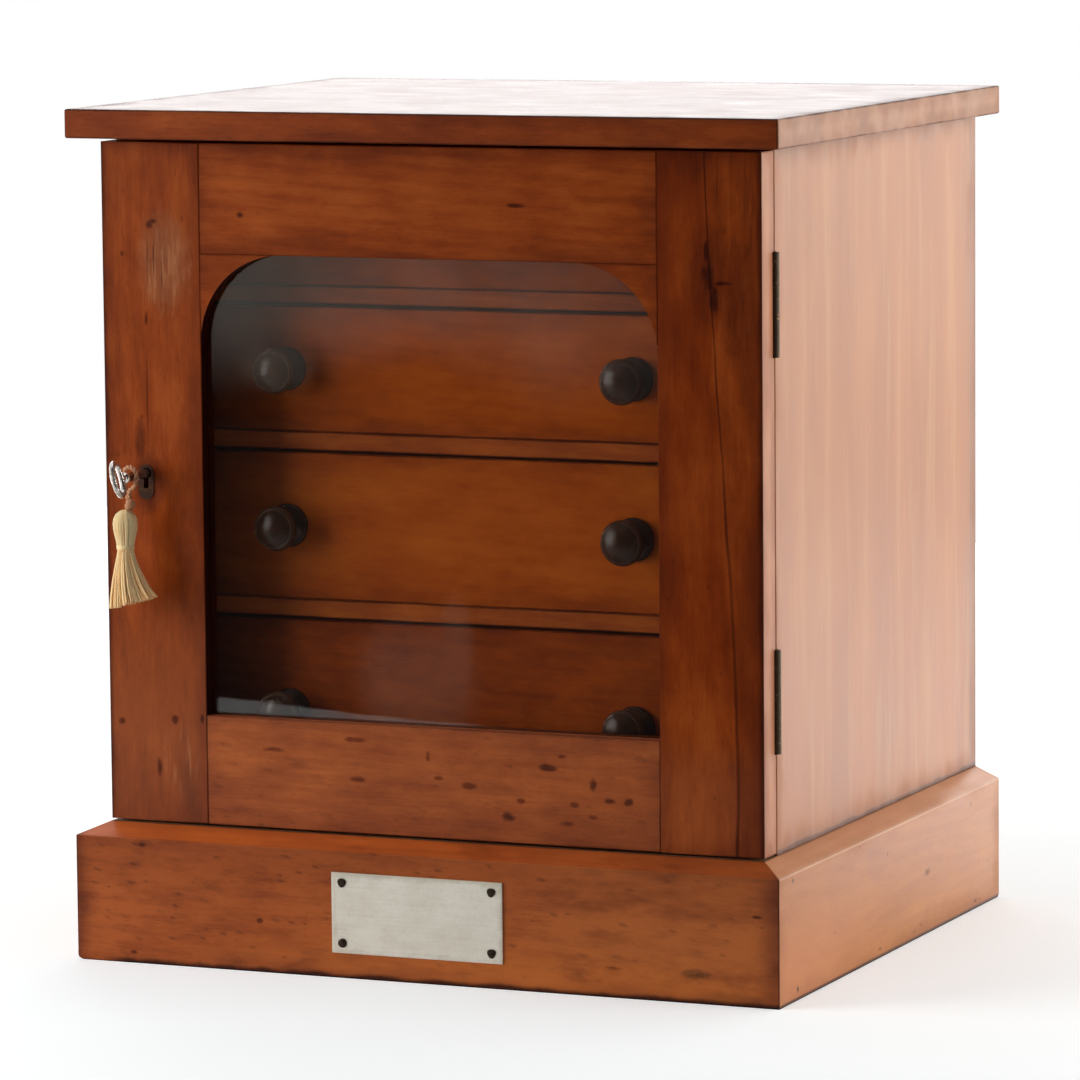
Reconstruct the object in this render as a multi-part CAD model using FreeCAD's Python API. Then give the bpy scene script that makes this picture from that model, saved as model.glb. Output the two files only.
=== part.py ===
import FreeCAD, Part
import math
import os

# Collector's cabinet: a glazed door over four graduated drawers, on a bevelled plinth.
# Millimetres. The origin is the middle of the plinth's footprint on the floor, +Z is up,
# the door faces -Y and hangs on the +X side.

# Carcass
carcass_width = 352.0
side_thickness = 14.0
side_depth = 294.5
side_height = 344.2
housing_depth = 4.0            # how far rails and runners are let into the sides
back_thickness = 8.0
back_rebate = 6.0              # how far the back panel is let into the sides
board_arris = 0.5              # eased edges

# Top board
top_thickness = 14.6
top_side_overhang = 13.5
top_front_overhang = 13.0
top_edge_radius = 1.2

# Plinth and the board that closes it
plinth_height = 69.2
plinth_bevel_rise = 5.8
plinth_front_thickness = 14.5
plinth_side_thickness = 13.0
plinth_back_thickness = 12.0
base_thickness = 12.0
block_width = 20.0
block_floor_gap = 6.0

# Name plate, left bare
plaque_width = 92.0
plaque_height = 40.5
plaque_thickness = 0.9
plaque_shift = -1.5            # plate's middle from the cabinet's middle
plaque_rise = 1.2              # plate's middle above the middle of the plinth's face
plaque_pin_inset_x = 5.8
plaque_pin_inset_z = 5.1
pin_head_radius = 2.6
pin_head_height = 1.5
pin_shank_radius = 0.8
pin_shank_length = 9.0

# Rails, runners and stops
rail_thickness = 9.0
rail_depth = 30.0
runner_width = 14.0
drawer_setback = 22.5          # drawer faces behind the front edges of the sides
bottom_bay = 93.6              # clear heights between rails, the top bay takes what is left
third_bay = 75.4
second_bay = 64.5
stop_width = 24.0
stop_length = 8.0
stop_height = 4.0
stop_inset = 40.0
stop_clearance = 0.3

# Drawers
drawer_side_gap = 0.8
drawer_top_gap = 1.4
drawer_bottom_gap = 0.2
drawer_length = 250.0
drawer_front_thickness = 14.0
drawer_side_thickness = 7.0
drawer_back_thickness = 6.0
drawer_back_drop = 5.0         # back lower than the sides
drawer_side_drop = 0.8         # sides lower than the front
drawer_bottom_thickness = 4.5
drawer_bottom_rise = 6.5       # underside of the bottom above the sides' lower edges
drawer_groove_depth = 3.5
drawer_arris = 0.6
tail_lap = 5.0                 # wood left in front of the dovetails
tail_pitch = 24.0
tail_neck_share = 0.5          # of each pitch, where the tail leaves the side
tail_slope = 0.2               # how fast a tail widens towards its end

# Turned knobs
knob_spacing = 187.0
knob_base_radius = 11.0
knob_base_thickness = 2.6
knob_waist_radius = 5.8
knob_head_radius = 11.4
knob_rim_thickness = 3.4
knob_dome_height = 3.6
knob_spigot_radius = 4.0
knob_spigot_length = 11.0
knob_door_clearance = 2.2
knob_fit = 0.05

# Door
door_thickness = 16.5
door_gap = 0.5                 # door's back to the front edges of the sides
door_bottom_gap = 1.2
door_top_gap = 2.0
stile_width = 54.0
door_rail_width = 55.0
door_arris = 0.4
tenon_length = 30.0
tenon_thickness = 5.5
tenon_shoulder = 9.0
mortise_spare = 1.0
glass_reveal = 6.0             # glass behind the door's face
glass_thickness = 2.2
glass_rebate = 6.0
glass_clearance = 0.8
bead_recess = 0.4
bead_chamfer = 2.0
spandrel_radius = 44.0
spandrel_tip = 0.3             # thickness of the spandrels' thin ends

# Butt hinges
hinge_length = 50.8
hinge_inset = 48.8             # hinge ends from the door's ends
leaf_width = 12.0
leaf_thickness = 1.25
leaf_gap = 0.1                 # between closed leaves
knuckle_radius = 2.2
knuckle_offset = 0.3           # pin's axis outside the carcass side
knuckle_count = 5
knuckle_clearance = 0.25
knuckle_end_gap = 0.1
hinge_pin_radius = 0.95
hinge_pin_clearance = 0.05
screw_head_radius = 2.1
screw_head_depth = 1.1
screw_shank_radius = 1.1
screw_length = 9.0
screw_fit = 0.05
screw_end_inset = 8.0

# Cupboard lock, strike plate and escutcheon
lock_edge_clearance = 0.7      # case from the carcass side
lock_backset = 7.8             # key's axis from the case's bolt edge
lock_case_width = 30.0
lock_case_height = 34.0
lock_case_depth = 9.5
lock_wall = 1.2
lock_cap_thickness = 1.0
lock_screw_inset = 4.0
lock_screw_grip = 5.0          # length in the stile
lock_screw_head_height = 1.3
drill_pin_radius = 1.1
drill_pin_length = 14.0
bolt_length = 25.0
bolt_height = 7.0
bolt_thickness = 4.0
bolt_drop = 4.5                # bolt's top below the key's axis
bolt_throw = 6.0
bolt_clearance = 0.15
talon_depth = 3.8
talon_before = 0.8             # talon's reach either side of the key's axis
talon_after = 5.0
guide_inset = 6.0
strike_thickness = 1.2
strike_width = 11.5
strike_height = 28.0
strike_slot_clearance = 0.5
strike_screw_inset = 4.0
strike_screw_length = 7.0
escutcheon_radius = 4.25
escutcheon_drop = 9.0          # between the centres of its two round ends
escutcheon_thickness = 1.2
escutcheon_proud = 0.4
lock_rise = 5.25               # key's axis above the middle of the door

# Key
key_shank_radius = 2.4
key_bore_clearance = 0.08
key_bit_reach = 7.2
key_bit_thickness = 1.8
key_bit_width = 4.4
key_end_gap = 1.0
keyhole_clearance = 0.4
key_stem_length = 27.25        # door's face to the bow's near limb
key_bow_half_width = 8.1       # across the key, to the middle of the wire
key_bow_half_length = 4.25     # along the key, to the middle of the wire
key_bow_wire_radius = 1.5
key_collar_radius = 3.0
key_collar_width = 1.6
key_collar_gap = 2.2
key_turned = 15.0              # degrees, bit to the right of straight down

# Tassel
loop_cord_radius = 1.0
loop_gap = 0.3
loop_reach = 18.0              # door's face to the loop round the shank
loop_stem_radius = 1.1
loop_stem_side = 0.6           # stem left of the key's axis
loop_drop = 17.0               # key's axis to the tassel's head
tassel_side = 2.6              # head's middle left of the key's axis
tassel_top_rim = 0.3           # head's flat top beyond the stem
tassel_head_radius = 6.9
tassel_head_height = 18.5
tassel_widest_drop = 7.4       # head's top to its widest
tassel_neck_radius = 4.2
tassel_seat_gap = 0.2
tassel_skirt_length = 28.5
tassel_skirt_radius = 13.0
tassel_lean = 4.1              # the skirt's end leans to the right


# Planes and levels worked out from the sizes above
half_width = carcass_width / 2
inner_half = half_width - side_thickness
plinth_depth = plinth_front_thickness + door_thickness + door_gap + side_depth
back_y = plinth_depth / 2
plinth_face_y = -plinth_depth / 2
door_front_y = plinth_face_y + plinth_front_thickness
door_back_y = door_front_y + door_thickness
side_front_y = door_back_y + door_gap
drawer_face_y = side_front_y + drawer_setback
back_inner_y = back_y - back_thickness
carcass_top_z = plinth_height + side_height
door_bottom_z = plinth_height + door_bottom_gap
door_top_z = carcass_top_z - door_top_gap
door_middle_z = (door_bottom_z + door_top_z) / 2
plinth_face_height = plinth_height - plinth_bevel_rise

top_bay = side_height - 5 * rail_thickness - bottom_bay - third_bay - second_bay
bays = [bottom_bay, third_bay, second_bay, top_bay]
bay_floors = []
rail_levels = [plinth_height]
for bay in bays:
    bay_floors.append(rail_levels[-1] + rail_thickness)
    rail_levels.append(bay_floors[-1] + bay)

opening_half = half_width - stile_width
opening_bottom_z = door_bottom_z + door_rail_width
opening_top_z = door_top_z - door_rail_width
rebate_y = door_front_y + glass_reveal

hinge_x = half_width + knuckle_offset
hinge_y = door_back_y + door_gap / 2
hinge_bottoms = [door_bottom_z + hinge_inset, door_top_z - hinge_inset - hinge_length]

lock_edge_x = -inner_half + lock_edge_clearance
key_x = lock_edge_x + lock_backset
key_z = door_middle_z + lock_rise
lock_plate_y = door_back_y + lock_case_depth
lock_inner_y = lock_plate_y - lock_wall
lock_open_y = door_back_y + lock_cap_thickness
bolt_y = (lock_open_y + lock_inner_y) / 2
bolt_top_z = key_z - bolt_drop
bolt_bottom_z = bolt_top_z - bolt_height

bow_near_y = door_front_y - key_stem_length
bow_y = bow_near_y - key_bow_half_length
loop_y = door_front_y - loop_reach
hang_x = key_x - tassel_side


def at(x, y, z):
    return FreeCAD.Vector(x, y, z)


def block(x, y, z):
    """A box between pairs of planes."""
    return Part.makeBox(x[1] - x[0], y[1] - y[0], z[1] - z[0], at(x[0], y[0], z[0]))


def rod(radius, start, axis, length):
    return Part.makeCylinder(radius, length, start, axis)


def mirrored(shape):
    """The same piece on the other side of the cabinet."""
    return shape.mirror(at(0, 0, 0), at(1, 0, 0))


def eased_front(shape, y, size):
    """Chamfers the edges of the face that lies in the plane y."""
    edges = [e for e in shape.Edges if all(abs(v.Y - y) < 1e-6 for v in e.Vertexes)]
    return shape.makeChamfer(size, edges)


def prism(points, path):
    """A flat outline of points pushed along a path."""
    return Part.Face(Part.makePolygon(points + points[:1])).extrude(path)


def turned_on(outline, axis_point, axis):
    """Revolves a closed outline of edges about an axis."""
    face = Part.Face(Part.Wire(outline))
    solid = face.revolve(axis_point, axis, 360)
    if solid.Volume < 0:
        solid.reverse()
    return solid


def line(a, b):
    return Part.LineSegment(a, b).toShape()


def arc(a, middle, b):
    return Part.Arc(a, middle, b).toShape()


def swell(depth, run):
    """Halfway along an arc that leaves a tangent and falls away by depth over run: (fall, way)."""
    radius = (depth ** 2 + run ** 2) / (2 * depth)
    half_turn = math.asin(run / radius) / 2
    return radius * (1 - math.cos(half_turn)), radius * math.sin(half_turn)


def save(name, *solids):
    """Writes one node, as one solid or as a group of separate ones."""
    found = [s for shape in solids for s in shape.Solids]
    if len(found) != len(solids):
        raise ValueError(name + " came apart into " + str(len(found)) + " solids")
    shape = found[0] if len(found) == 1 else Part.Compound(found)
    if not shape.isValid():
        raise ValueError(name + " is not a valid solid")
    shape.exportStep("parts/" + name + ".step")


# Fasteners

def countersunk_screw(head, axis, length, grow=0.0):
    """A screw whose head lies flush at head; grow makes the hole that it fits."""
    cone = Part.makeCone(screw_head_radius + grow, screw_shank_radius + grow, screw_head_depth, head, axis)
    return cone.fuse(rod(screw_shank_radius + grow, head, axis, length + grow)).removeSplitter()


def dome(seat, out, radius, height):
    """A shallow cap of a sphere that rises from its seat along out."""
    sphere_radius = (radius ** 2 + height ** 2) / (2 * height)
    low = math.degrees(math.asin((sphere_radius - height) / sphere_radius))
    return Part.makeSphere(sphere_radius, seat + out * (height - sphere_radius), out, low, 90, 360)


def domed_pin(seat, axis, head_radius, head_height, shank_radius, shank_length):
    """A domed head on its seat, with a shank along axis."""
    head = dome(seat, axis * -1, head_radius, head_height)
    return head.fuse(rod(shank_radius, seat, axis, shank_length)).removeSplitter()


def hinge_screw_heights(bottom):
    middle = bottom + hinge_length / 2
    reach = hinge_length / 2 - screw_end_inset
    return [middle - reach, middle, middle + reach]


def hinge_screws(face_y, axis, grow=0.0):
    x = half_width - leaf_width / 2
    heights = [z for bottom in hinge_bottoms for z in hinge_screw_heights(bottom)]
    return [countersunk_screw(at(x, face_y, z), axis, screw_length, grow) for z in heights]


fixed_screw_face = hinge_y + leaf_gap / 2
door_screw_face = hinge_y - leaf_gap / 2


# Carcass

def knuckle_room(shape):
    """Cuts the hollow in the wood that the hinge knuckles turn in."""
    for bottom in hinge_bottoms:
        foot = at(hinge_x, hinge_y, bottom - knuckle_clearance)
        height = hinge_length + 2 * knuckle_clearance
        shape = shape.cut(rod(knuckle_radius + knuckle_clearance, foot, at(0, 0, 1), height))
    return shape


def plain_side():
    """The right-hand side before its hinges: housings for the rails, rebate for the back."""
    heights = (plinth_height, carcass_top_z)
    board = block((inner_half, half_width), (side_front_y, back_y), heights)
    board = eased_front(board, side_front_y, board_arris)
    board = board.cut(block((inner_half, inner_half + back_rebate), (back_inner_y, back_y), heights))
    for level in rail_levels:
        housing = block((inner_half, inner_half + housing_depth), (drawer_face_y, back_inner_y),
                        (level, level + rail_thickness))
        board = board.cut(housing)
    return board


def right_side():
    board = plain_side()
    leaf_back_y = fixed_screw_face + leaf_thickness
    for bottom in hinge_bottoms:
        gain = block((half_width - leaf_width, half_width), (side_front_y, leaf_back_y),
                     (bottom, bottom + hinge_length))
        board = board.cut(gain)
    board = knuckle_room(board)
    for hole in hinge_screws(fixed_screw_face, at(0, 1, 0), screw_fit):
        board = board.cut(hole)
    return board


def strike_block():
    """The strike plate's outline, let into the left side."""
    middle_z = (bolt_top_z + bolt_bottom_z) / 2
    return block((-inner_half - strike_thickness, -inner_half), (side_front_y, side_front_y + strike_width),
                 (middle_z - strike_height / 2, middle_z + strike_height / 2))


def bolt_hole():
    """Where the thrown bolt goes, through the strike and into the side."""
    reach_x = lock_edge_x - bolt_throw - strike_slot_clearance
    half_slot = bolt_thickness / 2 + strike_slot_clearance
    return block((reach_x, -inner_half), (bolt_y - half_slot, bolt_y + half_slot),
                 (bolt_bottom_z - strike_slot_clearance, bolt_top_z + strike_slot_clearance))


def strike_screws(grow=0.0):
    middle_z = (bolt_top_z + bolt_bottom_z) / 2
    reach = strike_height / 2 - strike_screw_inset
    return [countersunk_screw(at(-inner_half, bolt_y, z), at(-1, 0, 0), strike_screw_length, grow)
            for z in (middle_z - reach, middle_z + reach)]


def left_side():
    board = mirrored(plain_side()).cut(strike_block()).cut(bolt_hole())
    for hole in strike_screws(screw_fit):
        board = board.cut(hole)
    return board


def strike_plate():
    plate = strike_block().cut(bolt_hole())
    for hole in strike_screws(screw_fit):
        plate = plate.cut(hole)
    return plate


def back_panel():
    reach = inner_half + back_rebate
    return block((-reach, reach), (back_inner_y, back_y), (plinth_height, carcass_top_z))


def top_board():
    reach = half_width + top_side_overhang
    board = block((-reach, reach), (door_front_y - top_front_overhang, back_y),
                  (carcass_top_z, carcass_top_z + top_thickness))
    return board.makeFillet(top_edge_radius, board.Edges)


def base_board():
    return block((-half_width, half_width), (door_front_y, back_y),
                 (plinth_height - base_thickness, plinth_height))


def cross_rail(level):
    reach = inner_half + housing_depth
    rail = block((-reach, reach), (drawer_face_y, drawer_face_y + rail_depth),
                 (level, level + rail_thickness))
    return eased_front(rail, drawer_face_y, board_arris)


def runner(level):
    return block((inner_half - runner_width, inner_half + housing_depth),
                 (drawer_face_y + rail_depth, back_inner_y), (level, level + rail_thickness))


def drawer_stops():
    start = drawer_face_y + drawer_front_thickness + stop_clearance
    stops = []
    for floor in bay_floors:
        right = block((inner_half - stop_inset - stop_width, inner_half - stop_inset),
                      (start, start + stop_length), (floor, floor + stop_height))
        stops += [right, mirrored(right)]
    return stops


# Plinth

plinth_half = half_width + plinth_side_thickness


def plinth_front():
    plan = prism([at(-plinth_half, plinth_face_y, 0), at(plinth_half, plinth_face_y, 0),
                  at(half_width, door_front_y, 0), at(-half_width, door_front_y, 0)], at(0, 0, plinth_height))
    profile = prism([at(-plinth_half, plinth_face_y, 0), at(-plinth_half, plinth_face_y, plinth_face_height),
                     at(-plinth_half, door_front_y, plinth_height), at(-plinth_half, door_front_y, 0)],
                    at(2 * plinth_half, 0, 0))
    board = plan.common(profile)
    for seat in plaque_pin_seats():
        board = board.cut(rod(pin_shank_radius + screw_fit, seat, at(0, 1, 0), pin_shank_length + screw_fit))
    return board


def plinth_right():
    plan = prism([at(plinth_half, plinth_face_y, 0), at(plinth_half, back_y, 0),
                  at(half_width, back_y, 0), at(half_width, door_front_y, 0)], at(0, 0, plinth_height))
    profile = prism([at(plinth_half, plinth_face_y, 0), at(plinth_half, plinth_face_y, plinth_face_height),
                     at(half_width, plinth_face_y, plinth_height), at(half_width, plinth_face_y, 0)],
                    at(0, plinth_depth, 0))
    return plan.common(profile)


def plinth_back():
    return block((-half_width, half_width), (back_y - plinth_back_thickness, back_y),
                 (0, plinth_height - base_thickness))


def plinth_blocks():
    """Glued in the four inner corners, under the base board."""
    heights = (block_floor_gap, plinth_height - base_thickness)
    inner_back = back_y - plinth_back_thickness
    rows = [(door_front_y, door_front_y + block_width), (inner_back - block_width, inner_back)]
    right = [block((half_width - block_width, half_width), row, heights) for row in rows]
    return right + [mirrored(piece) for piece in right]


plaque_middle_z = plinth_face_height / 2 + plaque_rise
plaque_face_y = plinth_face_y - plaque_thickness


def plaque_pin_seats():
    reach_x = plaque_width / 2 - plaque_pin_inset_x
    reach_z = plaque_height / 2 - plaque_pin_inset_z
    return [at(plaque_shift + i * reach_x, plaque_face_y, plaque_middle_z + k * reach_z)
            for i in (-1, 1) for k in (-1, 1)]


def plaque():
    half = plaque_width / 2
    plate = block((plaque_shift - half, plaque_shift + half), (plaque_face_y, plinth_face_y),
                  (plaque_middle_z - plaque_height / 2, plaque_middle_z + plaque_height / 2))
    for seat in plaque_pin_seats():
        plate = plate.cut(rod(pin_shank_radius + screw_fit, seat, at(0, 1, 0), plaque_thickness))
    return plate


def plaque_pins():
    return [domed_pin(seat, at(0, 1, 0), pin_head_radius, pin_head_height, pin_shank_radius, pin_shank_length)
            for seat in plaque_pin_seats()]


# Door frame

tenon_middle_y = door_front_y + door_thickness / 2
tenon_y = (tenon_middle_y - tenon_thickness / 2, tenon_middle_y + tenon_thickness / 2)


def tenon(rail_bottom_z, spare=0.0):
    """Right-hand tenon of a door rail; spare lengthens it into its mortise."""
    return block((opening_half, opening_half + tenon_length + spare), tenon_y,
                 (rail_bottom_z + tenon_shoulder, rail_bottom_z + door_rail_width - tenon_shoulder))


def plain_stile():
    """The right-hand stile before its hinges: mortises and the rebate for the glass."""
    stile = block((opening_half, half_width), (door_front_y, door_back_y), (door_bottom_z, door_top_z))
    stile = eased_front(stile, door_front_y, door_arris)
    stile = stile.cut(tenon(door_bottom_z, mortise_spare)).cut(tenon(opening_top_z, mortise_spare))
    rebate = block((opening_half, opening_half + glass_rebate), (rebate_y, door_back_y),
                   (opening_bottom_z - glass_rebate, opening_top_z + glass_rebate))
    return stile.cut(rebate)


def hinge_stile():
    stile = plain_stile()
    leaf_back_y = door_screw_face - leaf_thickness
    for bottom in hinge_bottoms:
        gain = block((half_width - leaf_width, half_width), (leaf_back_y, door_back_y),
                     (bottom, bottom + hinge_length))
        stile = stile.cut(gain)
    stile = knuckle_room(stile)
    for hole in hinge_screws(door_screw_face, at(0, -1, 0), screw_fit):
        stile = stile.cut(hole)
    return stile


def keyhole(radius, slot_width, reach, y):
    """A round hole on the key's axis with a slot below it, between two planes."""
    hole = rod(radius, at(key_x, y[0], key_z), at(0, 1, 0), y[1] - y[0])
    slot = block((key_x - slot_width / 2, key_x + slot_width / 2), y, (key_z - reach, key_z))
    return hole.fuse(slot).removeSplitter()


def bit_keyhole(y):
    return keyhole(key_shank_radius + keyhole_clearance, key_bit_thickness + 2 * keyhole_clearance,
                   key_bit_reach + keyhole_clearance, y)


def escutcheon_outline():
    y = (door_front_y - escutcheon_proud, door_front_y - escutcheon_proud + escutcheon_thickness)
    outline = keyhole(escutcheon_radius, 2 * escutcheon_radius, escutcheon_drop, y)
    foot = rod(escutcheon_radius, at(key_x, y[0], key_z - escutcheon_drop), at(0, 1, 0), escutcheon_thickness)
    return outline.fuse(foot).removeSplitter()


def escutcheon():
    return escutcheon_outline().cut(bit_keyhole((door_front_y - escutcheon_thickness, door_back_y)))


def lock_stile():
    stile = mirrored(plain_stile()).cut(escutcheon_outline()).cut(bit_keyhole((door_front_y, door_back_y)))
    for hole in lock_screws(screw_fit):
        stile = stile.cut(hole)
    return stile


def door_rail(bottom_z, rebate_z):
    rail = block((-opening_half, opening_half), (door_front_y, door_back_y),
                 (bottom_z, bottom_z + door_rail_width))
    rail = eased_front(rail, door_front_y, door_arris)
    rail = rail.fuse([tenon(bottom_z), mirrored(tenon(bottom_z))]).removeSplitter()
    return rail.cut(block((-opening_half, opening_half), (rebate_y, door_back_y), rebate_z))


def right_spandrel():
    """Fills the upper corner of the opening with a concave quarter curve."""
    corner = at(opening_half, door_front_y, opening_top_z)
    middle = corner - at(spandrel_radius, 0, spandrel_radius)
    run = math.sqrt(spandrel_radius ** 2 - (spandrel_radius - spandrel_tip) ** 2)
    leg = spandrel_radius - run
    slant = spandrel_radius / math.sqrt(2)
    upper = corner - at(leg, 0, spandrel_tip)
    lower = corner - at(spandrel_tip, 0, leg)
    outline = [line(corner, corner - at(leg, 0, 0)), line(corner - at(leg, 0, 0), upper),
               arc(upper, middle + at(slant, 0, slant), lower),
               line(lower, corner - at(0, 0, leg)), line(corner - at(0, 0, leg), corner)]
    return Part.Face(Part.Wire(outline)).extrude(at(0, glass_reveal, 0))


def glass_pane():
    spare = glass_rebate - glass_clearance
    return block((-opening_half - spare, opening_half + spare), (rebate_y, rebate_y + glass_thickness),
                 (opening_bottom_z - spare, opening_top_z + spare))


def bead(x, z, inner_x=None, inner_z=None):
    """A strip that holds the glass, with its inner back edge cut away."""
    back = door_back_y - bead_recess
    strip = block(x, (rebate_y + glass_thickness, back), z)
    edges = []
    for edge in strip.Edges:
        middle = edge.CenterOfMass
        aside = middle.x - inner_x if inner_z is None else middle.z - inner_z
        if abs(middle.y - back) < 1e-6 and abs(aside) < 1e-6:
            edges.append(edge)
    return strip.makeChamfer(bead_chamfer, edges)


def glazing_beads():
    outer = opening_half + glass_rebate
    tall = (opening_bottom_z - glass_rebate, opening_top_z + glass_rebate)
    wide = (-opening_half, opening_half)
    right = bead((opening_half, outer), tall, inner_x=opening_half)
    low = bead(wide, (tall[0], opening_bottom_z), inner_z=opening_bottom_z)
    high = bead(wide, (opening_top_z, tall[1]), inner_z=opening_top_z)
    return [right, mirrored(right), low, high]


# Hinges

def knuckle(bottom, index, radius, grow=0.0):
    pitch = hinge_length / knuckle_count
    start = bottom + index * pitch + knuckle_end_gap / 2 - grow
    return rod(radius, at(hinge_x, hinge_y, start), at(0, 0, 1), pitch - knuckle_end_gap + 2 * grow)


def hinge_leaf(bottom, own, others, y):
    """A leaf between two planes y, rolled round the pin at its own knuckles."""
    leaf = block((half_width - leaf_width, hinge_x), y, (bottom, bottom + hinge_length))
    for index in others:
        leaf = leaf.cut(knuckle(bottom, index, knuckle_radius + knuckle_clearance, knuckle_end_gap))
    leaf = leaf.fuse([knuckle(bottom, index, knuckle_radius) for index in own])
    bore_radius = hinge_pin_radius + hinge_pin_clearance
    bore = rod(bore_radius, at(hinge_x, hinge_y, bottom), at(0, 0, 1), hinge_length)
    return leaf.cut(bore).removeSplitter()


def hinge_leaves(own, others, y, holes):
    leaves = []
    for bottom in hinge_bottoms:
        leaf = hinge_leaf(bottom, own, others, y)
        for hole in holes:
            leaf = leaf.cut(hole)
        leaves.append(leaf)
    return leaves


def hinge_pins():
    return [rod(hinge_pin_radius, at(hinge_x, hinge_y, bottom), at(0, 0, 1), hinge_length)
            for bottom in hinge_bottoms]


# Lock and key

lock_z = (key_z - lock_case_height / 2, key_z + lock_case_height / 2)
lock_x = (lock_edge_x, lock_edge_x + lock_case_width)


def lock_screws(grow=0.0):
    """Round-headed screws through the case into the stile."""
    length = lock_case_depth + lock_screw_grip + grow
    seats = [at(x, lock_plate_y, z) for x in (lock_x[0] + lock_screw_inset, lock_x[1] - lock_screw_inset)
             for z in (lock_z[0] + lock_screw_inset, lock_z[1] - lock_screw_inset)]
    return [domed_pin(seat, at(0, -1, 0), screw_head_radius + grow, lock_screw_head_height,
                      screw_shank_radius + grow, length) for seat in seats]


def bolt_blank(grow=0.0):
    return block((lock_edge_x, lock_edge_x + bolt_length),
                 (bolt_y - bolt_thickness / 2 - grow, bolt_y + bolt_thickness / 2 + grow),
                 (bolt_bottom_z - grow, bolt_top_z + grow))


def lock_case():
    """A tray whose open side faces the door, with the pin that the hollow key turns on."""
    case = block(lock_x, (lock_open_y, lock_plate_y), lock_z)
    hollow = block((lock_x[0] + lock_wall, lock_x[1] - lock_wall), (lock_open_y, lock_inner_y),
                   (lock_z[0] + lock_wall, lock_z[1] - lock_wall))
    guide = block((key_x, lock_x[1] - lock_screw_inset - guide_inset), (lock_open_y, lock_inner_y),
                  (lock_z[0] + lock_wall, bolt_bottom_z - bolt_clearance))
    pin = rod(drill_pin_radius, at(key_x, lock_inner_y, key_z), at(0, -1, 0), drill_pin_length)
    case = case.cut(hollow).fuse([guide, pin]).removeSplitter().cut(bolt_blank(bolt_clearance))
    for hole in lock_screws(screw_fit):
        case = case.cut(hole)
    return case


def lock_cap():
    cap = block(lock_x, (door_back_y, lock_open_y), lock_z).cut(bit_keyhole((door_back_y, lock_open_y)))
    for hole in lock_screws(screw_fit):
        cap = cap.cut(hole)
    return cap


def lock_bolt():
    talon = block((key_x - talon_before, key_x + talon_after),
                  (bolt_y - bolt_thickness, bolt_y + bolt_thickness), (bolt_top_z - talon_depth, bolt_top_z))
    return bolt_blank().cut(talon)


def key():
    """Hollow shank, bit, collar and oval bow, turned as it was left in the lock."""
    end_y = lock_inner_y - key_end_gap
    out = at(0, -1, 0)
    body = rod(key_shank_radius, at(0, end_y, 0), out, end_y - bow_near_y)
    bit = block((-key_bit_thickness / 2, key_bit_thickness / 2),
                (bolt_y - key_bit_width / 2, bolt_y + key_bit_width / 2), (-key_bit_reach, 0))
    collar = rod(key_collar_radius, at(0, bow_near_y + key_collar_gap + key_collar_width, 0), out, key_collar_width)
    oval = Part.Ellipse(at(0, bow_y, key_bow_half_width), at(0, bow_near_y, 0), at(0, bow_y, 0))
    wire_end = Part.Wire(Part.makeCircle(key_bow_wire_radius, at(0, bow_y, key_bow_half_width), at(0, 1, 0)))
    bow = Part.Wire(oval.toShape()).makePipeShell([wire_end], True, True)
    bore = rod(drill_pin_radius + key_bore_clearance, at(0, end_y, 0), out, drill_pin_length)
    whole = body.fuse([bit, bow, collar]).removeSplitter().cut(bore)
    whole.rotate(at(0, 0, 0), at(0, 1, 0), -key_turned)
    whole.translate(at(key_x, 0, key_z))
    return whole


# Tassel

head_top_z = key_z - loop_drop
neck_z = head_top_z - tassel_head_height
loop_bend = key_shank_radius + loop_gap + loop_cord_radius


def tassel_loop():
    """The cord round the key's shank, and its stem down to the tassel's head."""
    ring = Part.makeTorus(loop_bend, loop_cord_radius, at(key_x, loop_y, key_z), at(0, 1, 0))
    stem = rod(loop_stem_radius, at(key_x - loop_stem_side, loop_y, head_top_z), at(0, 0, 1), loop_drop - loop_bend)
    return ring.fuse(stem).removeSplitter()


def tassel_head():
    """A wound ball on a narrow neck, with a flat top under the loop's stem."""
    def point(radius, z):
        return at(hang_x + radius, loop_y, z)

    top_radius = tassel_side - loop_stem_side + loop_stem_radius + tassel_top_rim
    widest_z = head_top_z - tassel_widest_drop
    upper_fall, upper_way = swell(tassel_head_radius - top_radius, tassel_widest_drop)
    lower_fall, lower_way = swell(tassel_head_radius - tassel_neck_radius, widest_z - neck_z)
    outline = [
        line(point(0, neck_z), point(0, head_top_z)),
        line(point(0, head_top_z), point(top_radius, head_top_z)),
        arc(point(top_radius, head_top_z), point(tassel_head_radius - upper_fall, widest_z + upper_way),
            point(tassel_head_radius, widest_z)),
        arc(point(tassel_head_radius, widest_z), point(tassel_head_radius - lower_fall, widest_z - lower_way),
            point(tassel_neck_radius, neck_z)),
        line(point(tassel_neck_radius, neck_z), point(0, neck_z)),
    ]
    return turned_on(outline, point(0, neck_z), at(0, 0, 1))


def tassel_skirt():
    """Silk threads as one flared body, leaning a little."""
    top_z = neck_z - tassel_seat_gap
    rings = []
    for share in (0.0, 0.35, 0.7, 1.0):
        radius = tassel_neck_radius + (tassel_skirt_radius - tassel_neck_radius) * share
        centre = at(hang_x + tassel_lean * share ** 2, loop_y, top_z - tassel_skirt_length * share)
        rings.append(Part.Wire(Part.makeCircle(radius, centre, at(0, 0, 1))))
    return Part.makeLoft(rings, True)


# Drawers

drawer_half = inner_half - drawer_side_gap
drawer_inner_half = drawer_half - drawer_side_thickness
drawer_inside_y = drawer_face_y + drawer_front_thickness
drawer_end_y = drawer_face_y + drawer_length


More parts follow.
